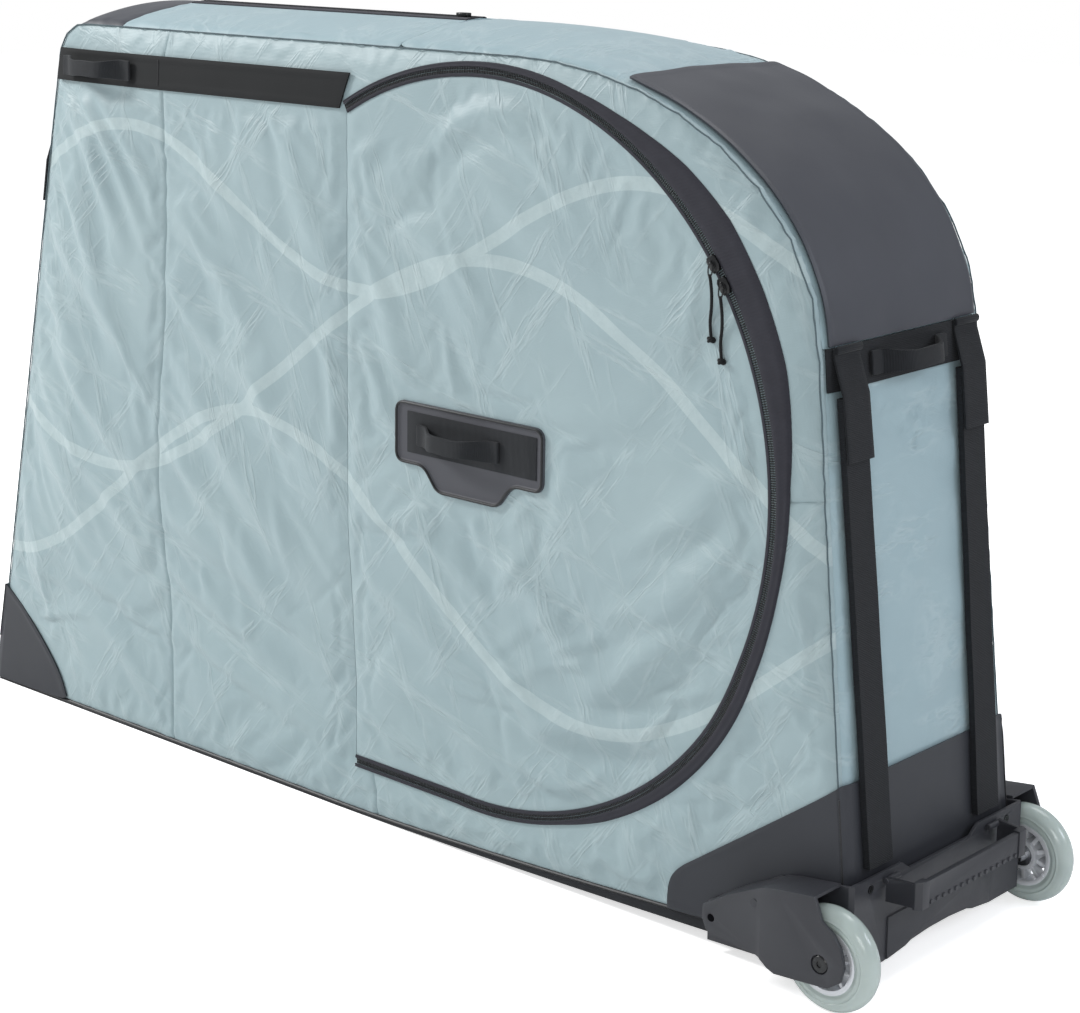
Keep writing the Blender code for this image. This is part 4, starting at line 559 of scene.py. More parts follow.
# Radius of the border's outer edge in mm, by angle round the circle
BORDER = ((119, 377), (90, 378), (71.5, 379.7), (63, 384), (57, 389), (49.6, 397), (40, 403.5), (30, 403),
          (20, 400), (13.5, 394), (5, 387), (-10, 384), (-28, 385), (-49, 384.5), (-63, 381.5), (-72, 377.5),
          (-94, 377))


def border_radius(angle):
    for (a, ra), (b, rb) in zip(BORDER, BORDER[1:]):
        if angle >= b:
            share = (a - angle) / (a - b)
            return (ra + (rb - ra) * share) * MM
    return BORDER[-1][1] * MM


def zip_stations(step_mm):
    """Places along the zip with the direction away from the door and the angle, a step apart."""
    turn = math.degrees(step_mm * MM / ZIP_RADIUS)
    count = round((ARC_START - ARC_END) / turn)
    stations = []
    for i in range(count + 1):
        angle = ARC_START + (ARC_END - ARC_START) * i / count
        out = Vector((math.cos(math.radians(angle)), math.sin(math.radians(angle))))
        stations.append((ZIP_CENTRE + out * ZIP_RADIUS, out, angle))
    last, out = stations[-1][0], stations[-1][1]
    steps = round((HINGE_FOOT - last).length / (step_mm * MM))
    down = Vector((0, -1))
    for i in range(1, steps + 1):
        share = i / steps
        stations.append((last.lerp(HINGE_FOOT, share), out.lerp(down, min(1, share * 3)).normalized(), ARC_END))
    return stations


# %% [markdown]
# ## Side panels and doors
# A sewn panel is cut flat from a paper pattern and pulled tight between its seams. Here each panel starts as
# the outline of its solid in the frame, filled with an even net of points 5 mm apart, which cloth can fold
# along in any direction. The long folds are drawn first, where the real bag pulls. A cloth simulation then
# lets the slightly oversized fabric settle between its fixed seams.

# %% Pattern pieces
NET_MM = 5.0
GROOVE_HALF = 2.2 * MM


def seam_loops(item):
    """The open edges of a sheet, walked round into closed lines of places, the longest first."""
    mesh = bmesh.new()
    mesh.from_mesh(item.data)
    nexts = {}
    for edge in mesh.edges:
        if len(edge.link_faces) == 1:
            loop = edge.link_loops[0]
            nexts[loop.vert.index] = loop.link_loop_next.vert.index
    places = {v.index: v.co.copy() for v in mesh.verts}
    mesh.free()
    loops = []
    while nexts:
        start = next(iter(nexts))
        line = []
        while start in nexts:
            line.append(places[start])
            start = nexts.pop(start)
        loops.append(line)
    return sorted(loops, key=lambda line: -sum((a - b).length for a, b in zip(line, line[1:])))


def walk_evenly(line, pitch):
    """A closed line cut again into steps of about one pitch, keeping its corners."""
    places = []
    for a, b in zip(line, line[1:]):
        steps = max(1, round((b - a).length / pitch))
        places += [a.lerp(b, i / steps) for i in range(steps)]
    return places


def inside(loop, x, z):
    """Whether a place lies within a closed line, by counting crossings."""
    odd = False
    for (x0, z0), (x1, z1) in zip(loop, loop[1:]):
        if (z0 > z) != (z1 > z) and x < x0 + (z - z0) * (x1 - x0) / (z1 - z0):
            odd = not odd
    return odd


def line_tree(lines):
    """A quick search for the nearest place on some lines, each given as (x, z) places."""
    places = [Vector((a[0] + (b[0] - a[0]) * k / steps, 0, a[1] + (b[1] - a[1]) * k / steps))
              for line in lines for a, b in zip(line, line[1:])
              for steps in [max(1, round(math.dist(a, b) / MM))] for k in range(steps + 1)]
    return places_tree(places)


def gap_to(tree, x, z):
    """Distance of a place from the lines of a search tree."""
    return tree.find(Vector((x, 0, z)))[2]


def along_line(line, share):
    """The place at a share of the way along an open line, and the line's direction there."""
    lengths = [(b - a).length for a, b in zip(line, line[1:])]
    left = share * sum(lengths)
    for a, b, length in zip(line, line[1:], lengths):
        if left <= length or b is line[-1]:
            return a.lerp(b, left / length), (b - a).normalized()
        left -= length


def pattern_piece(node, side, name, seams=()):
    """A flat net inside the outline of a side's solid, laid on the solid's face.

    Each seam sewn across the piece adds three close rows of points, so that it can sink into the cloth.
    """
    source = copy_node(node, name + "_source")
    keep_faces(source, lambda centre, normal: normal.y * side > 0.35)
    loops = [[(p.x, p.z) for p in line + line[:1]] for line in seam_loops(source)]
    finder = surface_of(source)
    bpy.data.objects.remove(source)
    pitch = NET_MM * MM
    rims = [[(p.x, p.y) for p in walk_evenly([Vector(q) for q in loop], pitch)] for loop in loops]
    points, edges = [], []
    for rim in rims:
        first = len(points)
        points += rim
        edges += [(first + i, first + (i + 1) % len(rim)) for i in range(len(rim))]
    rim_count = len(points)
    sewn = [[(x * MM, z * MM) for x, z in seam] for seam in seams]
    for seam in sewn:
        line = [Vector(p) for p in seam]
        steps = round(sum((b - a).length for a, b in zip(line, line[1:])) / pitch)
        for offset in (-GROOVE_HALF, 0.0, GROOVE_HALF):
            first = len(points)
            for i in range(steps + 1):
                place, run = along_line(line, i / steps)
                points.append((place.x - run.y * offset, place.y + run.x * offset))
            edges += [(first + i, first + i + 1) for i in range(steps)]
    rims_near, seams_near = line_tree(loops), line_tree(sewn) if sewn else None
    xs, zs = [p[0] for p in rims[0]], [p[1] for p in rims[0]]
    row, z = 0, min(zs)
    while z < max(zs):
        x = min(xs) + (pitch / 2 if row % 2 else 0)
        while x < max(xs):
            if inside(loops[0], x, z) and not any(inside(loop, x, z) for loop in loops[1:]):
                clear_of_seams = not sewn or gap_to(seams_near, x, z) > GROOVE_HALF + pitch * 0.5
                if clear_of_seams and gap_to(rims_near, x, z) > pitch * 0.55:
                    points.append((x, z))
            x += pitch
        row, z = row + 1, z + pitch * 0.866
    flat, _, faces, _, _, _ = delaunay_2d_cdt([Vector(p) for p in points], edges, [], 0, 1e-6)
    kept = []
    for face in faces:
        x = sum(flat[i].x for i in face) / 3
        z = sum(flat[i].y for i in face) / 3
        if inside(loops[0], x, z) and not any(inside(loop, x, z) for loop in loops[1:]):
            kept.append(tuple(face) if side < 0 else tuple(reversed(face)))
    places = []
    for p in flat:
        hit = finder.ray_cast(Vector((p.x, side * 0.4, p.y)), Vector((0, -side, 0)))[0]
        if hit is None:
            hit = finder.find_nearest(Vector((p.x, side * 0.13, p.y)))[0]
        places.append(Vector((p.x, hit.y, p.y)))
    item = mesh_piece(name, places, kept)
    edit_mesh(item, lambda mesh: relax(mesh, rim_count))
    print(name, len(flat), "points,", len(kept), "faces")
    return item, loops, rims_near, seams_near


def relax(mesh, fixed, rounds=14):
    """Even out the facets left by the solid: each free point moves towards the mean depth of its neighbours."""
    mesh.verts.ensure_lookup_table()
    for _ in range(rounds):
        for v in mesh.verts:
            if v.index >= fixed and v.link_edges:
                v.co.y += 0.5 * (sum(e.other_vert(v).co.y for e in v.link_edges) / len(v.link_edges) - v.co.y)
    bmesh.ops.delete(mesh, geom=[v for v in mesh.verts if not v.link_faces], context="VERTS")


PLEAT_SEAM = ((-310, 811), (-312, 750), (-309, 640), (-316, 500), (-330, 400), (-336, 300), (-329, 180), (-330, 8))
FOOT_SEAM = ((2, 57), (8, 30), (10, 8))
STRIP_SEAM = ((542, 447), (574, 451))
near_panel, panel_loops, panel_rims, panel_seams = pattern_piece(
    "near_side_panel", NEAR, "near_side_cloth", (PLEAT_SEAM, FOOT_SEAM, STRIP_SEAM))
near_leaf, _, leaf_rims, _ = pattern_piece("near_door", NEAR, "near_door_cloth")
SMOOTH_SIDE = BVHTree.FromPolygons(
    [v.co for v in near_panel.data.vertices] + [v.co for v in near_leaf.data.vertices],
    [tuple(p.vertices) for p in near_panel.data.polygons]
    + [tuple(i + len(near_panel.data.vertices) for i in p.vertices) for p in near_leaf.data.polygons])


def side_depth(x, z):
    """Distance of the unfolded side from the bag's middle plane at a place."""
    hit = SMOOTH_SIDE.ray_cast(Vector((x, -0.4, z)), Vector((0, 1, 0)))[0]
    if hit is None:
        hit = SMOOTH_SIDE.find_nearest(Vector((x, -0.135, z)))[0]
    return -hit.y


print("pattern pieces cut")

# %% [markdown]
# ### Folds
# The cloth pulls from its upper front corner down towards the door's hinge, and from the lower middle of the
# door out to its rear edge. Each long fold is a soft ridge with a hollow beside it. Beside the seams the
# thread draws the cloth into short puckers. Nothing may lift under the pieces sewn on top, so folds fade there.

# %% Folds
# Each fold: start and end in mm along and up the side, width and height in mm
PANEL_FOLDS = (
    (-500, 745, -372, 560, 13, 2.6), (-462, 748, -330, 575, 10, 2.2), (-425, 748, -318, 610, 9, 1.8),
    (-530, 690, -380, 470, 15, 3.0), (-520, 600, -345, 400, 16, 2.8), (-560, 560, -400, 330, 18, 2.4),
    (-540, 470, -352, 300, 14, 2.2), (-590, 420, -470, 220, 18, 1.8), (-500, 330, -350, 210, 15, 2.0),
    (-300, 720, -180, 600, 16, 1.8), (-305, 640, -120, 440, 20, 3.0), (-300, 560, -40, 330, 22, 3.4),
    (-315, 470, -60, 240, 20, 2.8), (-325, 390, -130, 190, 18, 2.4), (-325, 300, -40, 150, 19, 2.6),
    (-325, 225, -120, 120, 15, 2.0), (-320, 160, -60, 70, 14, 1.8), (-120, 740, -30, 560, 16, 1.6),
    (-60, 520, -26, 380, 12, 1.5), (-620, 300, -560, 120, 16, 1.4), (-520, 200, -345, 120, 15, 1.6),
    (-480, 120, -345, 60, 14, 1.4), (30, 30, 250, 42, 12, 1.0), (300, 36, 430, 62, 12, 1.0),
)
LEAF_FOLDS = (
    (-10, 640, 70, 470, 16, 2.0), (-8, 520, 62, 430, 11, 2.0), (-12, 360, 110, 330, 15, 1.6),
    (-5, 300, 120, 200, 16, 2.2), (40, 180, 190, 100, 16, 1.8), (110, 370, 240, 300, 15, 1.8),
    (180, 330, 340, 245, 19, 2.8), (130, 240, 300, 165, 18, 2.4), (230, 150, 400, 205, 16, 2.2),
    (290, 215, 480, 330, 18, 3.0), (320, 290, 505, 400, 17, 2.6), (340, 370, 515, 470, 16, 2.0),
    (300, 560, 470, 600, 20, 1.6), (150, 700, 330, 640, 22, 1.8), (60, 640, 190, 560, 20, 1.6),
    (250, 470, 400, 520, 18, 1.6), (200, 120, 330, 118, 14, 1.6), (90, 735, 240, 760, 16, 1.4),
)
PUCKER_PITCH = 17 * MM
FOLD_STRENGTH = 2.4


def fold_height(folds, x, z):
    """How far folds lift the cloth at a place, in millimetres."""
    total = 0.0
    for x0, z0, x1, z1, width, height in folds:
        if x < min(x0, x1) - 60 or x > max(x0, x1) + 60:
            continue
        dx, dz = x1 - x0, z1 - z0
        length = math.hypot(dx, dz)
        along = ((x - x0) * dx + (z - z0) * dz) / length ** 2
        if 0 < along < 1:
            across = ((x - x0) * dz - (z - z0) * dx) / length
            sway = width * 0.6 * math.sin(along * 4.2 + x0)
            here = (across - sway) / (width * (0.7 + 0.6 * along))
            fade = math.sin(math.pi * along) ** 0.8
            total += height * fade * (math.exp(-here * here) - 0.55 * math.exp(-(here - 1.7) ** 2))
    return total


# Where the upper slider's cord lies when the slider has run to the top of the hinge, in mm along and up
CORD_AT_TOP = (2, 94, 732, 780)


def cover_outline():
    """Everything sewn on the near side, pressed flat into one search tree."""
    points, faces = [], []
    for node in ("near_shoulder_band", "near_grip_plate", "kick_patch", "toe_patch", "near_upper_pull",
                 "near_lower_pull"):
        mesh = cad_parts[node].data
        first = len(points)
        points += [Vector((v.co.x, 0, v.co.z)) for v in mesh.vertices]
        for face in mesh.polygons:
            if face.center.y < -0.12:
                faces.append(tuple(first + i for i in face.vertices))
    first = len(points)
    stations = zip_stations(8)
    for place, out, angle in stations:
        for reach in (-7 * MM, border_radius(angle) - ZIP_RADIUS):
            at = place + out * reach
            points.append(Vector((at.x, 0, at.y)))
    faces += [(first + 2 * i, first + 2 * i + 1, first + 2 * i + 3, first + 2 * i + 2)
              for i in range(len(stations) - 1)]
    first = len(points)
    x0, x1, z0, z1 = [edge * MM for edge in CORD_AT_TOP]
    points += [Vector((x, 0, z)) for x, z in ((x0, z0), (x1, z0), (x1, z1), (x0, z1))]
    faces.append(tuple(range(first, first + 4)))
    return BVHTree.FromPolygons(points, faces)


COVERS = cover_outline()


def flatness(x, z):
    """0 where a sewn-on piece keeps the cloth flat, rising to 1 clear of it."""
    return min(1.0, max(0.0, COVERS.find_nearest(Vector((x, 0, z)))[3] - 2 * MM) / (20 * MM))


def drawn_in(rims, seams, x, z):
    """How far the threads of the seams draw the cloth inwards at a place in mm, with the puckers beside them."""
    away = gap_to(rims, x, z)
    edge = max(0.0, 1 - away / (11 * MM))
    ripple = noise.noise(Vector((x / PUCKER_PITCH, z / PUCKER_PITCH, 4.0)))
    beside = math.exp(-((away - 13 * MM) / (12 * MM)) ** 2) * flatness(x, z)
    sunk = 1.5 * edge * edge - 1.8 * ripple * beside
    if seams is not None:
        gap = gap_to(seams, x, z)
        sunk += 1.9 * math.exp(-(gap / (1.4 * MM)) ** 2)
        sunk -= 1.2 * ripple * math.exp(-((gap - 9 * MM) / (8 * MM)) ** 2)
    return sunk


def lay_folds(item, side, folds, rims, seams):
    """Move each free point of a net out by its folds and in by its seams."""
    for v in item.data.vertices:
        x, z = v.co.x, v.co.z
        rough = noise.noise(Vector((x / 0.055, z / 0.055, 1.5))) * 0.6
        rough += noise.noise(Vector((x * 7, z * 7, 2.5))) * 2.0
        lift = (FOLD_STRENGTH * fold_height(folds, x / MM, z / MM) + rough) * flatness(x, z)
        lift *= min(1.0, gap_to(rims, x, z) / (22 * MM))
        v.co.y += side * (lift - drawn_in(rims, seams, x, z)) * MM
    item.data.update()


def fine_folds(seed, count, box, angle, spread):
    """Short narrow folds scattered over a part of the cloth, running mostly one way."""
    order = random.Random(seed)
    folds = []
    for _ in range(count):
        x, z = order.uniform(box[0], box[1]), order.uniform(box[2], box[3])
        turn = math.radians(order.gauss(angle, spread))
        half = order.uniform(26, 90)
        folds.append((x - half * math.cos(turn), z - half * math.sin(turn), x + half * math.cos(turn),
                      z + half * math.sin(turn), order.uniform(5.0, 10.0), order.uniform(0.3, 0.95)))
    return folds


panel_folds = list(PANEL_FOLDS) + fine_folds(3, 34, (-560, -345, 220, 735), -54, 13)
panel_folds += fine_folds(5, 36, (-300, -50, 120, 730), -42, 16)
panel_folds += fine_folds(8, 16, (-600, -345, 60, 210), -30, 18)
leaf_folds = list(LEAF_FOLDS) + fine_folds(11, 26, (0, 250, 430, 760), -48, 16)
leaf_folds += fine_folds(13, 34, (210, 490, 180, 470), 28, 12) + fine_folds(17, 18, (0, 210, 90, 380), -38, 14)
lay_folds(near_panel, NEAR, panel_folds, panel_rims, panel_seams)
lay_folds(near_leaf, NEAR, leaf_folds, leaf_rims, None)
print("folds laid:", len(panel_folds), "on the panel,", len(leaf_folds), "on the door")

# %% [markdown]
# ### Cloth simulation
# The panels are cut about one part in a hundred larger than the space between their seams. With the seams
# pinned, no weight and a slight pressure from inside, the fabric has to buckle a little, which gives the small
# uneven dents no drawn fold has. No point may move far, so the pieces keep clear of what lies over them.

# %% Cloth simulation
SIM_FRAMES = 18
OVERSIZE_SHARE = 0.012
MOST_MOVE = 3.0 * MM


def settle(item, rims, seams):
    """Let a net settle as cloth between its pinned seams, and keep where it came to rest."""
    rest = [v.co.copy() for v in item.data.vertices]
    free = []
    for place in rest:
        away = gap_to(rims, place.x, place.z)
        if seams is not None:
            away = min(away, gap_to(seams, place.x, place.z))
        free.append(min(1.0, away / (22 * MM)) * flatness(place.x, place.z))
    pins = item.vertex_groups.new(name="seams")
    pins.add([i for i, share in enumerate(free) if share < 0.2], 1.0, "REPLACE")
    modifier = item.modifiers.new("Cloth", "CLOTH")
    cloth = modifier.settings
    cloth.quality = 5
    cloth.mass = 0.15
    cloth.tension_stiffness = cloth.compression_stiffness = 12
    cloth.shear_stiffness = 4
    cloth.bending_stiffness = 0.25
    cloth.air_damping = 3
    cloth.vertex_group_mass = "seams"
    cloth.shrink_min = -OVERSIZE_SHARE
    cloth.use_pressure = True
    cloth.uniform_pressure_force = 0.6
    cloth.effector_weights.gravity = 0
    modifier.point_cache.frame_start = 1
    modifier.point_cache.frame_end = SIM_FRAMES
    scene = bpy.context.scene
    for number in range(1, SIM_FRAMES + 1):
        scene.frame_set(number)
    settled = item.evaluated_get(bpy.context.evaluated_depsgraph_get()).to_mesh()
    moves = [(v.co - place) for v, place in zip(settled.vertices, rest)]
    item.modifiers.remove(modifier)
    scene.frame_set(1)
    for v, place, move, share in zip(item.data.vertices, rest, moves, free):
        length = max(move.length, 1e-9)
        v.co = place + move * (min(length, MOST_MOVE) / length * share)
    item.vertex_groups.remove(pins)
    widest = round(max(m.length for m in moves) / MM, 1)
    print(item.name, "settled: widest move", widest, "mm, held to", round(MOST_MOVE / MM, 1))


settle(near_panel, panel_rims, panel_seams)
settle(near_leaf, leaf_rims, None)

# %% [markdown]
# ### Padding
# The wall is cloth, 4 mm of foam and a lining, quilted together only at the seams. Each settled net is given
# that depth inwards, with the lining's own material inside. The far side is the same pattern, mirrored.

# %% Padding
WALL_MM = 5.4


def pad_wall(item, side):
    """Thicken a settled net straight inwards, with the lining as its second material."""
    item.data.materials.append(PRINTED_CLOTH)
    item.data.materials.append(LINING)

    def extrude(mesh):
        cloth = list(mesh.faces)
        copied = bmesh.ops.duplicate(mesh, geom=list(mesh.verts) + list(mesh.edges) + cloth)
        twins = copied["vert_map"]
        rim = [e for e in mesh.edges if len(e.link_faces) == 1 and e.verts[0] in twins]
        walls = [(e.link_loops[0].vert, e.link_loops[0].link_loop_next.vert)
                 for e in rim if e.link_faces[0] in cloth]
        lining = [f for f in copied["geom"] if isinstance(f, bmesh.types.BMFace)]
        for v in {v for f in lining for v in f.verts}:
            v.co.y -= side * WALL_MM * MM
        bmesh.ops.reverse_faces(mesh, faces=lining)
        for face in lining:
            face.material_index = 1
        for a, b in walls:
            mesh.faces.new((b, a, twins[a], twins[b]))

    return edit_mesh(item, extrude)


def wall_piece(item, body, node):
    dress(item, body, "light_cloth", None, node, angle=60)


pad_wall(near_panel, NEAR)
pad_wall(near_leaf, NEAR)
far_panel = mirrored(near_panel, "far_side_cloth")
far_leaf = mirrored(near_leaf, "far_door_cloth")
wall_piece(near_panel, "bag", "near_side_panel")
wall_piece(far_panel, "bag", "far_side_panel")
wall_piece(near_leaf, "near_door_leaf", "near_door")
wall_piece(far_leaf, "far_door_leaf", "far_door")
print("sides padded:", *(len(item.data.polygons) for item in (near_panel, near_leaf)), "faces, panel and door")

# %% [markdown]
# ## Ends, arch, top and lids
# These panels are bent along the outline of the bag. The outer skin of each solid is kept, smoothed into an
# even net by subdivision, drawn in along its seams, and padded like the sides.

# %% Skins
CENTRE = Vector((-0.02, 0.0, 0.40))
LONGEST_EDGE = 9 * MM
CORNER_ANGLE = math.radians(28)
# A face belongs to the outside when its normal agrees at least this much with the outward direction
LEAST_FACING = 0.3


def shared_surface(nodes):
    """One search tree of several CAD solids' surfaces."""
    points, faces = [], []
    for node in nodes:
        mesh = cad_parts[node].data
        first = len(points)
        points += [v.co.copy() for v in mesh.vertices]
        faces += [tuple(first + i for i in p.vertices) for p in mesh.polygons]
    return BVHTree.FromPolygons(points, faces)


LAID_OVER = shared_surface(("hood", "kick_patch", "toe_patch", "rear_cross_band"))
TOP_TAPE_HALF = 16 * MM


def bareness(node, place):
    """1 where the cloth lies open, falling to 0 beneath the pieces sewn over it."""
    bare = min(1.0, max(0.0, LAID_OVER.find_nearest(place)[3] - 3 * MM) / (12 * MM))
    if node.endswith("top_flap"):
        bare *= min(1.0, max(0.0, abs(place.y) - TOP_TAPE_HALF) / (8 * MM))
    return bare


def outward_of(way):
    """How to tell the outside of a sheet, for sheets that face along the bag, up, or to a side."""
    def around(centre):
        return Vector((centre.x - CENTRE.x, 0, (centre.z - CENTRE.z) * 1.4)).normalized()
    return {
        "around": around,
        "up": lambda centre: Vector((0, 0, 1)),
        "near": lambda centre: Vector((0, NEAR, 0)),
        "far": lambda centre: Vector((0, FAR, 0)),
        "wrap": lambda centre: Vector((centre.x, centre.y * 4, 0)).normalized(),
        "rear": lambda centre: Vector((1, 0, 0)),
    }[way]


def outer_skin(node, name, way, levels):
    """The outside of a CAD sheet as an even, smooth net."""
    item = copy_node(node, name)
    outward = outward_of(way)
    keep_faces(item, lambda centre, normal: normal.dot(outward(centre)) > LEAST_FACING)

    def hold_corners(mesh):
        crease = mesh.edges.layers.float.new("crease_edge")
        for e in mesh.edges:
            if len(e.link_faces) == 2 and e.calc_face_angle() > CORNER_ANGLE:
                e[crease] = 1.0

    edit_mesh(item, hold_corners)
    smooth_out(item, levels)

    def split_long(mesh):
        for _ in range(4):
            long = [e for e in mesh.edges if e.calc_length() > LONGEST_EDGE]
            if long:
                bmesh.ops.subdivide_edges(mesh, edges=long, cuts=1, use_grid_fill=True)

    return edit_mesh(item, split_long)


def push_out(item, height):
    """Move each point along its own direction by a height in millimetres that depends on its place."""
    mesh = item.data
    moves = [v.normal * height(v.co) * MM for v in mesh.vertices]
    for v, move in zip(mesh.vertices, moves):
        v.co += move
    mesh.update()
    return item


def rim_of(item):
    """The open edge of a sheet, as a search tree of places along it."""
    mesh = bmesh.new()
    mesh.from_mesh(item.data)
    places = []
    for e in mesh.edges:
        if len(e.link_faces) == 1:
            a, b = e.verts[0].co, e.verts[1].co
            places += [a.lerp(b, k / 6) for k in range(7)]
    mesh.free()
    return places_tree(places)


def from_rim(rim, place):
    """Distance of a place from the open edge of its sheet."""
    return rim.find(place)[2]


EDGE_SINK = 1.2
FOAM_WALL = 5.0 * MM


def sewn_height(rim, place, puckers, soft):
    """Height of padded cloth near its seams: drawn in at the edge, puckered beside it, slightly uneven beyond."""
    away = from_rim(rim, place) / MM
    ripple = noise.noise(place / (15 * MM)) * math.exp(-((away - 10) / 12) ** 2)
    rough = noise.noise(place / (70 * MM)) * min(1.0, away / 30)
    return puckers * ripple + soft * rough - EDGE_SINK * max(0.0, 1 - away / 10) ** 2


def sewn_sheet(node, name, way, levels, body, material, slot, puckers=1.3, soft=1.6, relief=None):
    """A padded panel: outer skin, sewn relief, and its wall of foam and lining."""
    item = outer_skin(node, name, way, levels)
    rim = rim_of(item)

    def height(place):
        bare = bareness(node, place)
        raised = sewn_height(rim, place, puckers, soft) + (relief(place) if relief else 0.0)
        return bare * raised - (1 - bare) * 0.6

    push_out(item, height)
    item.data.materials.append(material)
    item.data.materials.append(LINING)
    modifier = item.modifiers.new("Foam", "SOLIDIFY")
    modifier.thickness = FOAM_WALL
    modifier.offset = -1
    modifier.use_even_offset = False
    modifier.material_offset = 1
    modifier.material_offset_rim = 0
    apply_modifiers(item)
    dress(item, body, slot, None, node, angle=60)
    return item


# Each fold across an end: start and end in mm across and up, width and height in mm
END_FOLDS = (
    (-92, 556, 96, 446, 10, 2.6), (-62, 562, 40, 508, 7, 1.6), (-12, 560, 92, 502, 8, 1.4),
    (-90, 470, 30, 404, 14, 1.6), (-60, 404, 92, 306, 15, 1.8), (70, 430, -40, 340, 13, 1.1),
    (-88, 310, 40, 236, 12, 1.3), (86, 300, -20, 224, 12, 1.1),
)


def end_folds(place):
    """Slanting folds down the middle of an end."""
    turned = place.y if place.x > 0 else -place.y
    return 1.5 * fold_height(END_FOLDS, turned / MM, place.z / MM) * max(0.0, 1 - (abs(place.y) / 0.105) ** 4)


END_PANELS = (
    ("rear_end_panel", "rear_end_cloth", PALE_CLOTH, "light_cloth", {"relief": end_folds}),
    ("arch_panel", "arch_cloth", PALE_CLOTH, "light_cloth", {"puckers": 2.0, "soft": 0.8}),
    ("front_end_panel", "front_end_cloth", PALE_CLOTH, "light_cloth", {"relief": end_folds}),
    ("nose_cover", "nose_cover_cloth", BLACK_CLOTH, "black_cloth", {"soft": 0.6}),
)
ENDS = [sewn_sheet(node, name, "around", 3, "bag", material, slot, **feel)
        for node, name, material, slot, feel in END_PANELS]
LIDS = [sewn_sheet(f"{label}_top_flap", f"{label}_top_cloth", "up", 4, f"{label}_lid", PALE_CLOTH, "light_cloth",
                   puckers=1.6, soft=2.0) for label, _ in SIDES]
print("ends and lids:", sum(len(item.data.polygons) for item in ENDS + LIDS), "faces")

# %% [markdown]
# ## Dividers
# A padded wall stands inside each side and keeps a wheel off the frame. It is quilted in slanting rows, so
# that the foam can't slip.

# %% Dividers
QUILT_PITCH = 0.11


def quilted(place):
    """A pillow between two slanting sets of stitch lines, in millimetres."""
    a = abs(math.sin(math.pi * (place.x + place.z) / QUILT_PITCH))
    b = abs(math.sin(math.pi * (place.x - place.z) / QUILT_PITCH))
    return -2.2 * max(math.exp(-(a / 0.12) ** 2), math.exp(-(b / 0.12) ** 2))


def divider_piece(label):
    item = copy_node(f"{label}_divider", f"{label}_padded_divider")
    modifier = item.modifiers.new("Net", "REMESH")
    modifier.mode = "VOXEL"
    modifier.voxel_size = 6 * MM
    apply_modifiers(item)
    smooth = item.modifiers.new("Even", "SMOOTH")
    smooth.iterations = 6
    apply_modifiers(item)
    push_out(item, lambda place: quilted(place) - 0.6)
    dress(item, "bag", "light_cloth", LINING, f"{label}_divider", angle=60)
    return item


DIVIDERS = [divider_piece(label) for label, _ in SIDES]
print("dividers quilted:", len(DIVIDERS[0].data.polygons), "faces each")

# %% [markdown]
# ## Black skins sewn on top
# The hood and the corner patches are coated tarpaulin, the bands tape and webbing, each a single layer with a
# folded hem. They follow the panels under them, so each keeps its place in the frame and gets only a hem and
# slight waves of its own.

# %% Hood, patches and bands

def tarp_skin(node, name, way, material, slot, thickness, waves=0.4, hem=0.5):
    """A single layer sewn flat on the bag, with a hem that stands up a little along its edge."""
    item = outer_skin(node, name, way, 3)
    rim = rim_of(item)

    def height(place):
        away = from_rim(rim, place) / MM
        return hem * math.exp(-((away - 4) / 2.5) ** 2) + waves * noise.noise(place / (50 * MM))

    push_out(item, height)
    thicken(item, thickness * MM)
    return dress(item, "bag", slot, material, node, angle=50)


hood = tarp_skin("hood", "hood_tarpaulin", "around", BLACK_CLOTH, "black_cloth", 2.4, 1.6)
kick = tarp_skin("kick_patch", "kick_tarpaulin", "wrap", PATCH_CLOTH, "black_cloth", 1.8)
toe = tarp_skin("toe_patch", "toe_tarpaulin", "wrap", PATCH_CLOTH, "black_cloth", 1.8)
cross = tarp_skin("rear_cross_band", "cross_webbing", "rear", WEBBING_Z, "webbing", 1.6, 0.2, 0.3)
bands = [tarp_skin(f"{label}_shoulder_band", f"{label}_shoulder_tape", label, BAND_CLOTH, "black_cloth", 1.8)
         for label, _ in SIDES]
print("tarpaulin skins:", len(hood.data.polygons), "faces on the hood")

# %% [markdown]
# ## Door zips
# A coil zip: two tapes, each with a row of teeth along its edge. The outer tape is covered by a black border
# that is sewn to the side. The inner tape belongs to the door and opens with it.

# %% Tapes and teeth
def tape_strip(name, side, near_edge, far_edge, heights, thickness, step_mm=6.0):
    """A strip along the zip between two distances from its line. Heights stand it off the side, in mm."""
    stations = zip_stations(step_mm)
    points, faces = [], []
    columns = len(heights)
    for place, out, angle in stations:
        a, b = near_edge(angle), far_edge(angle)
        for c, height in enumerate(heights):
            at = place + out * (a + (b - a) * c / (columns - 1))
            points.append((at.x, side * (side_depth(at.x, at.y) + height * MM), at.y))
    for r in range(len(stations) - 1):
        for c in range(columns - 1):
            i = r * columns + c
            face = (i, i + 1, i + columns + 1, i + columns)
            faces.append(face if side < 0 else face[::-1])

    def face_the_side(mesh):
        bmesh.ops.recalc_face_normals(mesh, faces=mesh.faces)
        if sum(f.normal.y * side for f in mesh.faces) < 0:
            bmesh.ops.reverse_faces(mesh, faces=mesh.faces)

    return thicken(edit_mesh(mesh_piece(name, points, faces), face_the_side), thickness * MM)


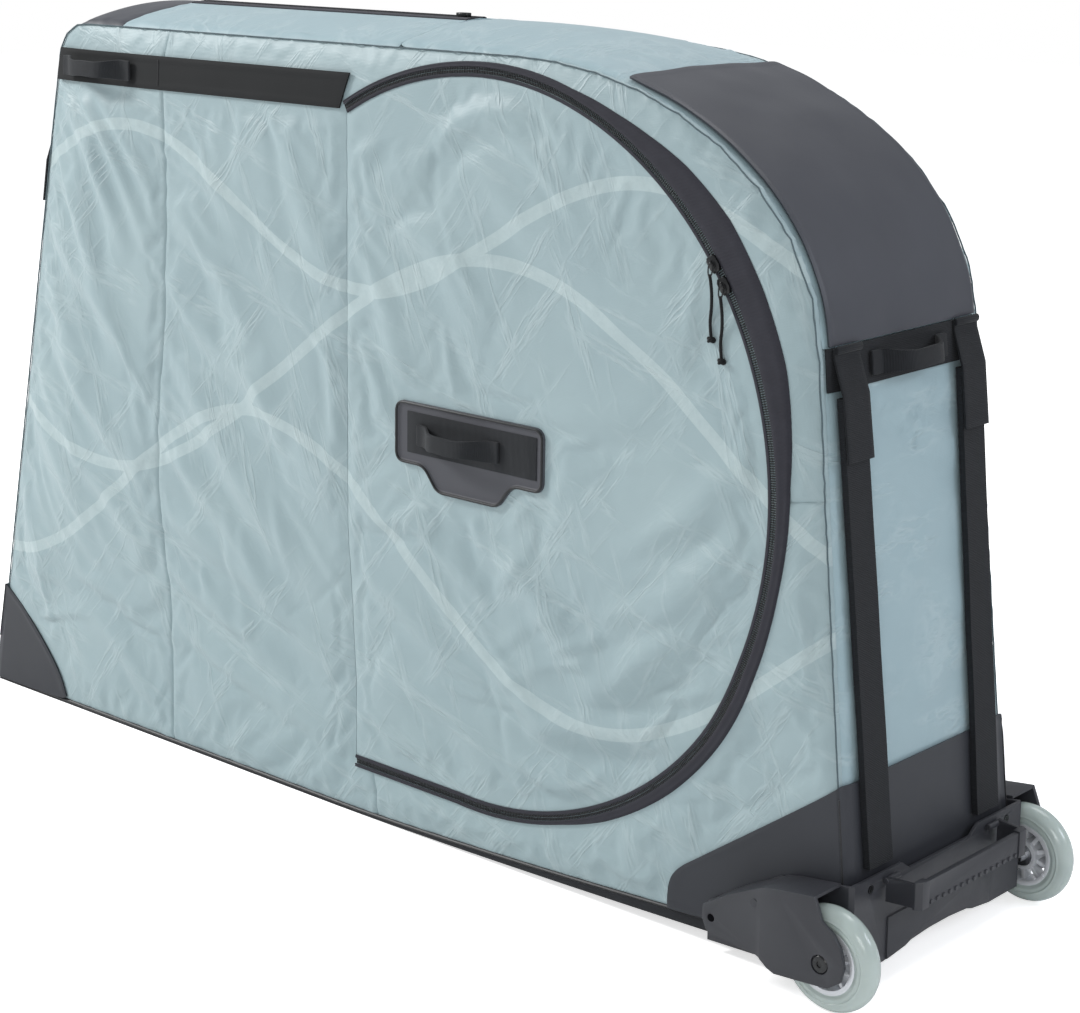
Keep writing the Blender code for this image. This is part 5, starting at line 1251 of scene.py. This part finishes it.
TOOTH_PITCH = 2.2
TOOTH_BOX = ((0, 0, 0), (1, 0, 0), (1, 1, 0), (0, 1, 0), (0, 0, 1), (1, 0, 1), (1, 1, 1), (0, 1, 1))
TOOTH_FACES = ((0, 3, 2, 1), (4, 5, 6, 7), (0, 1, 5, 4), (1, 2, 6, 5), (2, 3, 7, 6), (3, 0, 4, 7))


def coil_row(name, stations, half, lift, length=2.6, width=1.15, tall=1.1):
    """One side of a coil: a small tooth at every pitch, reaching from its tape to the middle."""
    points, faces = [], []
    for base, along, out, up in stations:
        first = len(points)
        for a, b, c in TOOTH_BOX:
            points.append(base + along * (a - 0.5) * width * MM + out * half * (0.25 + b * length) * MM
                          + up * (lift + c * tall * (1 - 0.3 * b)) * MM)
        faces += [tuple(first + k for k in face) for face in TOOTH_FACES]
    return face_outwards(mesh_piece(name, points, faces))


def door_coil_stations(side):
    stations = []
    found = zip_stations(TOOTH_PITCH)
    for (place, out, _), (ahead, _, _) in zip(found, found[1:]):
        run = (ahead - place).normalized()
        stations.append((Vector((place.x, side * side_depth(place.x, place.y), place.y)),
                         Vector((run.x, 0, run.y)), Vector((out.x, 0, out.y)), Vector((0, side, 0))))
    return stations


# %% Tapes and teeth of the doors
ZIP_NYLON = moulded("zip coil nylon", "#1F2023", "#18191B", 0.35, 0.6, 0.02)
for label, side in SIDES:
    border = tape_strip(f"{label}_zip_border", side, lambda angle: 2.9 * MM,
                        lambda angle: border_radius(angle) - ZIP_RADIUS, (1.0, 1.9, 1.6, 1.5, 1.6, 1.9, 0.5), 1.3)
    dress(border, "bag", "black_cloth", ZIP_TAPE, angle=60)
    inner = tape_strip(f"{label}_door_tape", side, lambda angle: -6.5 * MM, lambda angle: -2.9 * MM,
                       (0.4, 1.4, 1.0), 1.0)
    dress(inner, f"{label}_door_leaf", "black_cloth", ZIP_TAPE, angle=60)
    stations = door_coil_stations(side)
    outer_row = coil_row(f"{label}_outer_teeth", stations, 1, -0.5)
    inner_row = coil_row(f"{label}_inner_teeth", stations, -1, -0.5)
    dress(outer_row, "bag", "black_cloth", ZIP_NYLON)
    dress(inner_row, f"{label}_door_leaf", "black_cloth", ZIP_NYLON)
print("door zips:", len(stations), "teeth each half")

# %% [markdown]
# ## Main zip
# The zip along the top lets the bicycle's frame in. Its coil lies on the near flap's wider tape, so the far
# flap lies free when the slider has run forwards.

# %% Main zip
def top_height(x, y):
    best = -1.0
    for finder in TOP_FINDERS:
        hit = finder.ray_cast(Vector((x, y, 1.2)), Vector((0, 0, -1)))[0]
        if hit is not None:
            best = max(best, hit.z)
    return best


def flat_finder(node):
    item = copy_node(node, node + "_flat")
    finder = surface_of(item)
    bpy.data.objects.remove(item)
    return finder


TOP_FINDERS = [flat_finder("near_top_flap"), flat_finder("far_top_flap")]
TOP_FROM, TOP_TO = -398 * MM, 33 * MM


def top_tape(name, y0, y1, body, heights=(0.3, 1.1, 1.1, 0.3)):
    rows = 44
    points, faces = [], []
    for r in range(rows + 1):
        x = TOP_FROM + (TOP_TO - TOP_FROM) * r / rows
        for c, height in enumerate(heights):
            y = (y0 + (y1 - y0) * c / (len(heights) - 1)) * MM
            points.append((x, y, top_height(x, min(5 * MM, y) if y0 < 0 else max(7 * MM, y)) + height * MM))
    columns = len(heights)
    for r in range(rows):
        for c in range(columns - 1):
            i = r * columns + c
            faces.append((i, i + columns, i + columns + 1, i + 1))
    item = thicken(mesh_piece(name, points, faces), 1.0 * MM)
    return dress(item, body, "black_cloth", ZIP_TAPE, angle=60)


top_tape("near_top_tape", -15.0, -2.6, "near_lid")
top_tape("near_top_tape_middle", -2.6, 2.6, "near_lid", (0.15, 0.15))
top_tape("near_top_tape_edge", 2.6, 5.2, "near_lid", (1.1, 0.8))
top_tape("far_top_tape", 6.2, 15.0, "far_lid")
teeth = []
count = int((TOP_TO - TOP_FROM) / (TOOTH_PITCH * MM))
for i in range(count):
    x = TOP_FROM + (i + 0.5) * TOOTH_PITCH * MM
    teeth.append((Vector((x, 0, top_height(x, 0.0))), Vector((1, 0, 0)), Vector((0, -1, 0)), Vector((0, 0, 1))))
for half in (1, -1):
    row = coil_row(f"main_teeth_{'near' if half > 0 else 'far'}", teeth, half, 0.0, 2.4, 1.15, 0.9)
    dress(row, "near_lid", "black_cloth", ZIP_NYLON)
print("main zip:", count, "teeth each half")

# %% [markdown]
# ### Sliders
# A slider is die cast in zinc and enamelled. The solid from the frame is kept in shape and its edges are
# rounded, as casting leaves them. A wire loop joins it to the cord.

# %% Sliders

WIRE = 1.3 * MM
LOOP_HALF = 2.3 * MM


def cast_copy(node, name, body, slot, material, bevel_mm, angle=30, segments=2):
    """A hard CAD solid with its edges rounded."""
    item = copy_node(node, name)
    round_edges(item, bevel_mm * MM, angle, segments)
    apply_modifiers(item)
    return dress(item, body, slot, material, node, angle=35)


def wire_loop(name, top, foot, body):
    """A long wire ring from a slider's bridge to the start of its cord."""
    middle, reach = (top + foot) / 2, (top - foot) / 2
    points = []
    for k in range(24):
        turn = 2 * math.pi * k / 24
        points.append(middle + reach * math.cos(turn) + Vector((LOOP_HALF * math.sin(turn), 0, 0)))
    return dress(cord_mesh(cord_piece(name, points, WIRE), ring=True), body, "zip_metal", ENAMEL)


for label, side in SIDES:
    for place in ("upper", "lower"):
        body = f"{label}_{place}_zip"
        cast_copy(f"{label}_{place}_slider", f"{label}_{place}_zip_slider", body, "zip_metal", ENAMEL, 0.5)
        low, high = [Vector(corner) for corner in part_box(f"{label}_{place}_slider")]
        x, y, z = PULL_ROUTES[place][0]
        out = max(abs(low.y), abs(high.y)) + 0.9 * MM
        bridge = Vector(((low.x + high.x) / 2, side * out, low.z * 0.4 + high.z * 0.6))
        wire_loop(f"{label}_{place}_pull_ring", bridge, Vector((x, side * y, z - 2.5)) * MM, body)
cast_copy("main_slider", "main_zip_slider", "main_zip", "zip_metal", ENAMEL, 0.5)
print("sliders made")

# %% [markdown]
# ## Webbing grips
# A grip is a band of webbing folded over itself and sewn down at both ends. Between them it stands in a bow,
# pinched narrower and thicker where a hand closes on it.

# %% Grips

def pinched_grip(node, name, body, axis, material):
    """The bow of a grip with rounded selvedges, narrowed towards its middle."""
    item = copy_node(node, name)
    round_edges(item, 1.3 * MM)
    apply_modifiers(item)
    smooth_out(item, 2)
    across = 2 if axis == 0 or node.startswith("rear") else 1
    low, high = [Vector(corner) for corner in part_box(node)]
    middle, half = (low + high) / 2, (high - low) / 2
    for v in item.data.vertices:
        share = abs(v.co[axis] - middle[axis]) / half[axis]
        pinch = 0.22 * max(0.0, 1 - (share / 0.72) ** 4)
        v.co[across] += (middle[across] - v.co[across]) * pinch
        v.co[across] += 0.35 * MM * math.sin(v.co[axis] * 160)
    item.data.update()
    return dress(item, body, "webbing", material, node, angle=50)


for label, side in SIDES:
    pinched_grip(f"{label}_door_grip", f"{label}_door_grip_webbing", f"{label}_door_leaf", 0, WEBBING_X)
    pinched_grip(f"{label}_shoulder_grip", f"{label}_shoulder_grip_webbing", "bag", 0, WEBBING_X)
pinched_grip("rear_grip", "rear_grip_webbing", "bag", 1, WEBBING_Y)
print("grips made")

# %% [markdown]
# ## Grip plates
# Behind each door grip sits a moulded plate with a raised welt round it. A strip of webbing is sewn across
# the plate, and the grip passes through it, so the pull spreads over the door.

# %% Grip plates
STRIP_BOX = (69, 245, 415, 457)
TAB_RADIUS = 9 * MM
# Each ring of the plate from its back edge to its field: distance in from the outline and lift, both in mm
PLATE_RINGS = ((0, -3.2), (0, -0.8), (0.3, -0.25), (0.8, 0.0), (3.3, 0.0), (3.8, -0.2), (4.3, -0.8), (4.8, -0.9))


def plate_outline(node, side):
    """The plate's front outline, walked round, with its sharp corners rounded."""
    item = copy_node(node, node + "_outline")
    line = []

    def walk(mesh):
        flat = [e for e in mesh.edges if len(e.link_faces) == 2 and e.calc_face_angle() < math.radians(3)]
        bmesh.ops.dissolve_edges(mesh, edges=flat, use_verts=True)
        front = max(mesh.faces, key=lambda f: f.calc_area() * (f.normal.y * side > 0.5))
        line.extend(Vector((v.co.x, v.co.z)) for v in front.verts)

    edit_mesh(item, walk)
    bpy.data.objects.remove(item)
    rounded = []
    for i, corner in enumerate(line):
        before, after = line[i - 1], line[(i + 1) % len(line)]
        turn = (corner - before).angle(after - corner)
        if turn < math.radians(25):
            rounded.append(corner)
            continue
        reach = min(TAB_RADIUS, (before - corner).length * 0.45, (after - corner).length * 0.45)
        start = corner + (before - corner).normalized() * reach
        end = corner + (after - corner).normalized() * reach
        for k in range(7):
            t = k / 6
            rounded.append(start * (1 - t) ** 2 + corner * 2 * t * (1 - t) + end * t ** 2)
    return rounded


def drawn_inside(line, inset):
    """The same outline, a distance further in."""
    area = sum(a.x * b.y - b.x * a.y for a, b in zip(line, line[1:] + line[:1]))
    turned = 1 if area > 0 else -1
    inner = []
    for i, p in enumerate(line):
        ahead = (line[(i + 1) % len(line)] - p).normalized()
        behind = (p - line[i - 1]).normalized()
        across = Vector((-ahead.y - behind.y, ahead.x + behind.x)).normalized() * turned
        inner.append(p + across * inset / max(0.5, math.cos(ahead.angle(behind) / 2)))
    return inner


def welted_plate(label, side):
    """The plate: an edge, a welt 4 mm wide and a field sunk inside it, laid along the door."""
    node = f"{label}_grip_plate"
    outline = plate_outline(node, side)
    finder = flat_finder(node)
    middle = sum(outline, Vector((0, 0))) / len(outline)

    def front(p):
        for share in (0, 0.015, 0.03, 0.06, 0.1):
            at = p.lerp(middle, share)
            hit = finder.ray_cast(Vector((at.x, side * 0.4, at.y)), Vector((0, -side, 0)))[0]
            if hit is not None:
                return hit.y
        return side * 0.138

    points, faces = [], []
    for inset, lift in PLATE_RINGS:
        for p in drawn_inside(outline, inset * MM):
            points.append((p.x, front(p) + side * lift * MM, p.y))
    count = len(outline)
    for r in range(len(PLATE_RINGS) - 1):
        for i in range(count):
            j = (i + 1) % count
            faces.append((r * count + i, r * count + j, (r + 1) * count + j, (r + 1) * count + i))
    first = (len(PLATE_RINGS) - 1) * count
    inner = [Vector((points[first + i][0], points[first + i][2])) for i in range(count)]
    closed = [tuple(p) for p in inner + inner[:1]]
    xs, zs = [p.x for p in inner], [p.y for p in inner]
    net = []
    steps_x, steps_z = round((max(xs) - min(xs)) / (6 * MM)), round((max(zs) - min(zs)) / (6 * MM))
    for a in range(1, steps_x):
        for b in range(1, steps_z):
            p = Vector((min(xs) + (max(xs) - min(xs)) * a / steps_x, min(zs) + (max(zs) - min(zs)) * b / steps_z))
            if inside(closed, p.x, p.y) and min((p - q).length for q in inner) > 3 * MM:
                net.append(p)
    outer_ring = [(i, (i + 1) % count) for i in range(count)]
    flat, _, filled, _, _, _ = delaunay_2d_cdt(inner + net, outer_ring, [], 0, 1e-6)
    for p in flat[count:]:
        points.append((p.x, front(p) + side * PLATE_RINGS[-1][1] * MM, p.y))
    for face in filled:
        centre = sum((flat[i] for i in face), Vector((0, 0))) / len(face)
        if inside(closed, centre.x, centre.y):
            faces.append(tuple(first + i for i in face))
    faces.append(tuple(range(count)))
    item = face_outwards(mesh_piece(f"{label}_welted_plate", points, faces))
    binding = [Vector((p.x, front(p) + side * 0.1 * MM, p.y)) for p in drawn_inside(outline, 1.7 * MM)]
    rim = cord_piece(f"{label}_plate_binding", binding, 3.0 * MM)
    rim.data.bevel_resolution = 2
    dress(cord_mesh(rim, ring=True), f"{label}_door_leaf", "black_cloth", PIPING, angle=60)
    return dress(item, f"{label}_door_leaf", "black_cloth", PLATE_RUBBER, node, angle=35)


def plate_strip(label, side, plate):
    """The webbing strip across the plate, laid on its field."""
    finder = surface_of(plate)
    x0, x1, z0, z1 = STRIP_BOX
    points, faces = [], []
    for r in range(13):
        for c in range(5):
            x, z = (x0 + (x1 - x0) * r / 12) * MM, (z0 + (z1 - z0) * c / 4) * MM
            hit = finder.ray_cast(Vector((x, side * 0.4, z)), Vector((0, -side, 0)))[0]
            points.append((x, hit.y + side * 0.8 * MM, z))
    for r in range(12):
        for c in range(4):
            i = r * 5 + c
            face = (i, i + 5, i + 6, i + 1)
            faces.append(face if side < 0 else face[::-1])
    item = mesh_piece(f"{label}_plate_strip", points, faces)
    thicken(item, 1.2 * MM, 0.3 * MM)
    return dress(item, f"{label}_door_leaf", "webbing", WEBBING_X, angle=40)


PLATE_RUBBER = tarpaulin("moulded rubber", "#4A4B51", "#424349", 0.55)
for label, side in SIDES:
    plate_strip(label, side, welted_plate(label, side))
print("plates made")

# %% [markdown]
# ## Rod sleeves and their flaps
# Two flat sleeves run down each end, with a glass-fibre rod in each that keeps the end upright. A flap of the
# same webbing hangs over the mouth of each sleeve.

# %% Sleeves

def webbing_copy(node, name, body, bevel_mm, levels, wave_mm):
    """A webbing solid with soft edges and a slight wave along it."""
    item = copy_node(node, name)
    cuts = item.modifiers.new("Net", "SUBSURF")
    cuts.subdivision_type = "SIMPLE"
    cuts.levels = cuts.render_levels = levels
    round_edges(item, bevel_mm * MM)
    apply_modifiers(item)
    for v in item.data.vertices:
        v.co.y += wave_mm * MM * noise.noise(Vector((v.co.x * 3, v.co.y * 3, v.co.z * 11)))
    item.data.update()
    return dress(item, body, "webbing", WEBBING_Z, node, angle=50)


for end in ("rear", "front"):
    for label, side in SIDES:
        piece = f"{end}_{label}"
        webbing_copy(f"{piece}_sleeve", f"{piece}_sleeve_webbing", "bag", 0.8, 5, 1.2)
        webbing_copy(f"{piece}_sleeve_flap", f"{piece}_flap_webbing", f"{piece}_cover", 0.8, 3, 0.8)


def flap_fold(end, label):
    """The turned-over top of a flap: a short flat roll above the line it hinges on."""
    low, high = [Vector(corner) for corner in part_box(f"{end}_{label}_sleeve_flap")]
    inner = low.x if end == "rear" else high.x
    outwards = 1 if end == "rear" else -1
    bpy.ops.mesh.primitive_cylinder_add(vertices=24, radius=1, depth=1)
    roll = bpy.context.active_object
    roll.name = roll.data.name = f"{end}_{label}_flap_fold"
    for v in roll.data.vertices:
        x, y, z = v.co
        v.co = (inner + outwards * (3.4 + 2.4 * x) * MM, (low.y + high.y) / 2 + z * (high.y - low.y) * 0.96,
                high.z + (3.6 * y - 1.2) * MM)
    roll.data.update()
    round_edges(roll, 0.8 * MM)
    apply_modifiers(roll)
    return dress(roll, "bag", "webbing", WEBBING_Z, angle=50)


for end in ("rear", "front"):
    for label, side in SIDES:
        flap_fold(end, label)
print("sleeves made")

# %% [markdown]
# ## Seams and piping
# The panels are joined edge to edge and bound inside, so the join shows only as a thin darker line all round
# the side. A black piping closes the foot.

# %% Seam lines

FOOT_TOP = 46 * MM
SEAM_STEP = 8 * MM
BAND_SEAM_X = -316 * MM
# Where the corner seams run over each patch: beyond this reach along the bag, between these heights
PATCH_REACH = 500 * MM
KICK_HEIGHTS, TOE_HEIGHTS = (52 * MM, 192 * MM), (52 * MM, 135 * MM)


def seam_cord(name, points, diameter_mm, material, slot):
    item = cord_piece(name, points, diameter_mm * MM)
    item.data.bevel_resolution = 1
    return dress(cord_mesh(item), "bag", slot, material, angle=60)


rim = [Vector(p) for p in panel_loops[0]]
start = next(i for i in range(len(rim)) if rim[i].y < FOOT_TOP <= rim[i - 1].y)
rim = rim[start:] + rim[:start]
foot_count = next(i for i, p in enumerate(rim) if p.y >= FOOT_TOP)
foot_line, over_line = rim[:foot_count + 1], rim[foot_count - 1:] + rim[:1]
over_line = walk_evenly(over_line, SEAM_STEP)
kick_line = [p for p in over_line if p.x > PATCH_REACH and KICK_HEIGHTS[0] < p.y < KICK_HEIGHTS[1]]
toe_line = [p for p in over_line if p.x < -PATCH_REACH and TOE_HEIGHTS[0] < p.y < TOE_HEIGHTS[1]]
for label, side in SIDES:
    def lay(line, lift):
        return [Vector((p.x, side * (side_depth(p.x, p.y) + lift * MM), p.y)) for p in line]
    seam_cord(f"{label}_rim_seam", lay(over_line, -0.3), 1.6, SEAM_THREAD, "light_cloth")
    seam_cord(f"{label}_foot_piping", lay(foot_line, -0.6), 4.0, PIPING, "black_cloth")
    for name, patch, line, ahead in (("kick", kick, kick_line, 4 * MM), ("toe", toe, toe_line, -4 * MM)):
        surface = surface_of(patch)
        on_patch = [surface.find_nearest(Vector((p.x + ahead, side * 0.16, p.y)))[0] for p in line]
        seam_cord(f"{label}_{name}_seam", on_patch, 1.6, PIPING, "black_cloth")
    (_, _, low_z), (_, _, high_z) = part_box(f"{label}_shoulder_band")
    band = surface_of(bands[0 if side < 0 else 1])
    heights = [low_z + (high_z - low_z) * share for share in (0.12, 0.3, 0.5, 0.7, 0.88)]
    starts = [Vector((BAND_SEAM_X, side * 0.4, height)) for height in heights]
    across = [band.ray_cast(start, Vector((0, -side, 0)))[0] for start in starts]
    seam_cord(f"{label}_band_seam", [p for p in across if p is not None], 1.5, PIPING, "black_cloth")
print("seams laid:", len(over_line), "places over the top,", len(foot_line), "along the foot")

# %% [markdown]
# ## Chassis
# The carrier, the wheel guards and the towing grip are injection moulded. Their solids already have the
# right shape, so each gets the small radius that a mould leaves on every edge.

# %% Moulded pieces
cast_copy("wheel_carrier", "moulded_carrier", "bag", "moulded_plastic", NYLON, 0.8, 25)
cast_copy("tow_grip", "moulded_tow_grip", "bag", "moulded_plastic", NYLON, 0.6, 25)
for label, side in SIDES:
    cast_copy(f"{label}_wheel_guard", f"{label}_moulded_guard", "bag", "moulded_plastic", NYLON, 0.9, 25)
    cast_copy(f"{label}_axle_bolt", f"{label}_bolt", "bag", "steel", ENAMEL, 0.4, 25)
cast_copy("base_skid", "base_tarpaulin", "bag", "black_cloth", SKID_CLOTH, 2.0, 40, 3)
print("moulded pieces made")

# %% [markdown]
# ### Screws
# Two cross-head screws hold the carrier to the base board, each sunk in its round recess.

# %% Screws
SCREW_HEAD = 7.2
GATE_AT = Vector((547.5, 84.8)) * MM
GATE_RADIUS = 4 * MM
SCREW_PLACES = [(0.112 * side, 0.100) for _, side in SIDES]


def cross_screw(name, y, z):
    """A pan head with a cross cut in it, facing the rear."""
    finder = flat_finder("wheel_carrier")
    hit = finder.ray_cast(Vector((0.8, y, z)), Vector((-1, 0, 0)))[0]
    bpy.ops.mesh.primitive_cylinder_add(vertices=32, radius=SCREW_HEAD / 2 * MM, depth=1.6 * MM)
    head = bpy.context.active_object
    head.name = head.data.name = name
    for turn in (0, 90):
        bpy.ops.mesh.primitive_cube_add(size=1)
        slot_cutter = bpy.context.active_object
        slot_cutter.scale = (4.6 * MM, 1.0 * MM, 2.0 * MM)
        slot_cutter.rotation_euler = (0, 0, math.radians(turn + 20))
        slot_cutter.location = (0, 0, 1.2 * MM)
        cut = head.modifiers.new("Cross", "BOOLEAN")
        cut.object = slot_cutter
        cut.solver = "EXACT"
        apply_modifiers(head)
        bpy.data.objects.remove(slot_cutter)
    for v in head.data.vertices:
        x, y0, z0 = v.co
        v.co = (hit.x + z0 + 0.9 * MM, y + y0, z + x)
    head.data.update()
    return dress(head, "bag", "steel", ENAMEL, angle=35)


for number, (y, z) in enumerate(SCREW_PLACES):
    cross_screw(f"carrier_screw_{number + 1}", y, z)


def guard_disc(label, side):
    """A small round gate mark, where the moulding was filled."""
    bpy.ops.mesh.primitive_cylinder_add(vertices=28, radius=GATE_RADIUS, depth=1.2 * MM)
    disc = bpy.context.active_object
    disc.name = disc.data.name = f"{label}_guard_disc"
    finder = flat_finder(f"{label}_wheel_guard")
    hit = finder.ray_cast(Vector((GATE_AT.x, side * 0.4, GATE_AT.y)), Vector((0, -side, 0)))[0]
    for v in disc.data.vertices:
        x, y, z = v.co
        v.co = (GATE_AT.x + x, hit.y + side * (z + 0.1 * MM), GATE_AT.y + y)
    disc.data.update()
    return dress(face_outwards(disc), "bag", "moulded_plastic", NYLON, angle=35)


for label, side in SIDES:
    guard_disc(label, side)
print("screws made")

# %% [markdown]
# ## Wheels
# Each tyre is cast on its hub from clear grey polyurethane, like an inline skate wheel. Its section is turned
# once and spun round the axle. The hub is a bright moulded ring on spokes, which shows in front of the tyre's
# flank. Two steel bearings sit in it.

# %% Wheels
# Half the tyre's section: distance from the axle and from the middle plane, in mm
TYRE_BORE = 31.4
TYRE_SECTION = ((TYRE_BORE, 10.4), (33.2, 10.9), (34.2, 11.6), (36.2, 11.9), (37.0, 11.5), (38.6, 11.5), (39.1, 12.0),
                (39.9, 11.9), (40.4, 11.3), (41.2, 11.1), (43.6, 10.2),
                (46.4, 8.2), (48.4, 5.6), (49.6, 2.8), (50.0, 0.0))
TYRE_TURNS = 96


def spun_tyre(label):
    """The section of half a tyre, mirrored and spun round the axle."""
    low, high = [Vector(corner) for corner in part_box(f"{label}_tyre")]
    centre = (low + high) / 2
    half = [Vector((r, 0, w)) * MM for r, w in TYRE_SECTION]
    section = half + [Vector((p.x, 0, -p.z)) for p in reversed(half[:-1])]
    section += [Vector((TYRE_BORE, 0, -6)) * MM, Vector((TYRE_BORE, 0, 6)) * MM]
    points, faces = [], []
    for k in range(TYRE_TURNS):
        turn = 2 * math.pi * k / TYRE_TURNS
        for p in section:
            points.append((centre.x + p.x * math.cos(turn), centre.y + p.z, centre.z + p.x * math.sin(turn)))
    count = len(section)
    for k in range(TYRE_TURNS):
        for i in range(count):
            j, m = (i + 1) % count, (k + 1) % TYRE_TURNS
            faces.append((k * count + i, m * count + i, m * count + j, k * count + j))
    item = face_outwards(mesh_piece(f"{label}_cast_tyre", points, faces))
    return dress(item, f"{label}_wheel", "tyre", TYRE, f"{label}_tyre", angle=50)


for label, _ in SIDES:
    spun_tyre(label)
    cast_copy(f"{label}_hub", f"{label}_moulded_hub", f"{label}_wheel", "hub", HUB_NYLON, 0.5, 25)
print("tyres spun:", TYRE_TURNS, "steps round")

# %% [markdown]
# ## What stays as it came
# The base board, the rods and the bearings are hidden or plain, so their solids are used as they are.

# %% Kept solids
KEPT = {"base_board": BOARD, "near_bearings": STEEL, "far_bearings": STEEL}
for end in ("rear", "front"):
    for label, side in SIDES:
        KEPT[f"{end}_{label}_rod"] = GLASS_FIBRE
for node, material in KEPT.items():
    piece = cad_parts[node]
    piece.data.materials.clear()
    piece.data.materials.append(material)
print("kept:", ", ".join(KEPT))

# %% [markdown]
# ## Floor and light
# The bag stands on a plain white floor in soft light: a lamp from the upper left that grazes the side and
# brings out its folds, weaker ones for the end, from beside the camera and from above, and a bright even sky.
# The floor is left white in the picture, with only a soft contact shadow.

# %% Floor and lamps
FLOOR_HALF = 9.0
FLOOR_GLOW = 0.62
SKY_STRENGTH = 0.46
WHITE = "#FFFFFF"

bpy.ops.mesh.primitive_plane_add(size=2 * FLOOR_HALF)
floor = bpy.context.active_object
floor.name = floor.data.name = "studio_floor"
floor_paint = new_material("white studio floor", WHITE, 0.9, Specular_IOR_Level=0.0)
seen_share = add_node(floor_paint, "ShaderNodeLightPath").outputs["Is Camera Ray"]
shade(floor_paint, "Emission Strength", maths(floor_paint, "MULTIPLY", seen_share, FLOOR_GLOW))
floor_paint.node_tree.nodes["Principled BSDF"].inputs["Emission Color"].default_value = hex_colour(WHITE)
floor.data.materials.append(floor_paint)


def soft_lamp(name, place, aim, width, height, watts, colour=WHITE):
    data = bpy.data.lights.new(name, "AREA")
    data.shape = "RECTANGLE"
    data.size, data.size_y = width, height
    data.energy = watts
    data.color = hex_colour(colour)[:3]
    lamp = bpy.data.objects.new(name, data)
    lamp.location = place
    lamp.rotation_euler = (Vector(aim) - Vector(place)).to_track_quat("-Z", "Y").to_euler()
    bpy.context.scene.collection.objects.link(lamp)
    return lamp


soft_lamp("key lamp", (-3.1, -1.6, 2.7), (0.0, 0.0, 0.4), 0.9, 0.9, 122)
soft_lamp("end lamp", (3.4, 1.0, 2.2), (0.5, 0.0, 0.4), 1.3, 1.3, 32, "#EEF3FF")
soft_lamp("fill lamp", (2.6, -3.2, 1.7), (0.5, -0.1, 0.4), 1.5, 1.5, 26)
soft_lamp("top lamp", (0.4, 0.8, 3.6), (0.1, 0.0, 0.6), 2.0, 1.6, 30)

world = bpy.data.worlds.new("studio")
bpy.context.scene.world = world
world.use_nodes = True
world.node_tree.nodes.clear()
sky = add_node(world, "ShaderNodeBackground", {"Color": hex_colour("#F4F7FA"), "Strength": SKY_STRENGTH})
seen = add_node(world, "ShaderNodeBackground", {"Color": hex_colour(WHITE), "Strength": 1.0})
to_camera = add_node(world, "ShaderNodeLightPath").outputs["Is Camera Ray"]
mixed = add_node(world, "ShaderNodeMixShader", {"Fac": to_camera, 1: sky.outputs["Background"],
                                                2: seen.outputs["Background"]})
add_node(world, "ShaderNodeOutputWorld", {"Surface": mixed.outputs["Shader"]})
bpy.context.scene.view_settings.view_transform = "Standard"
print("floor, lamps and sky set")
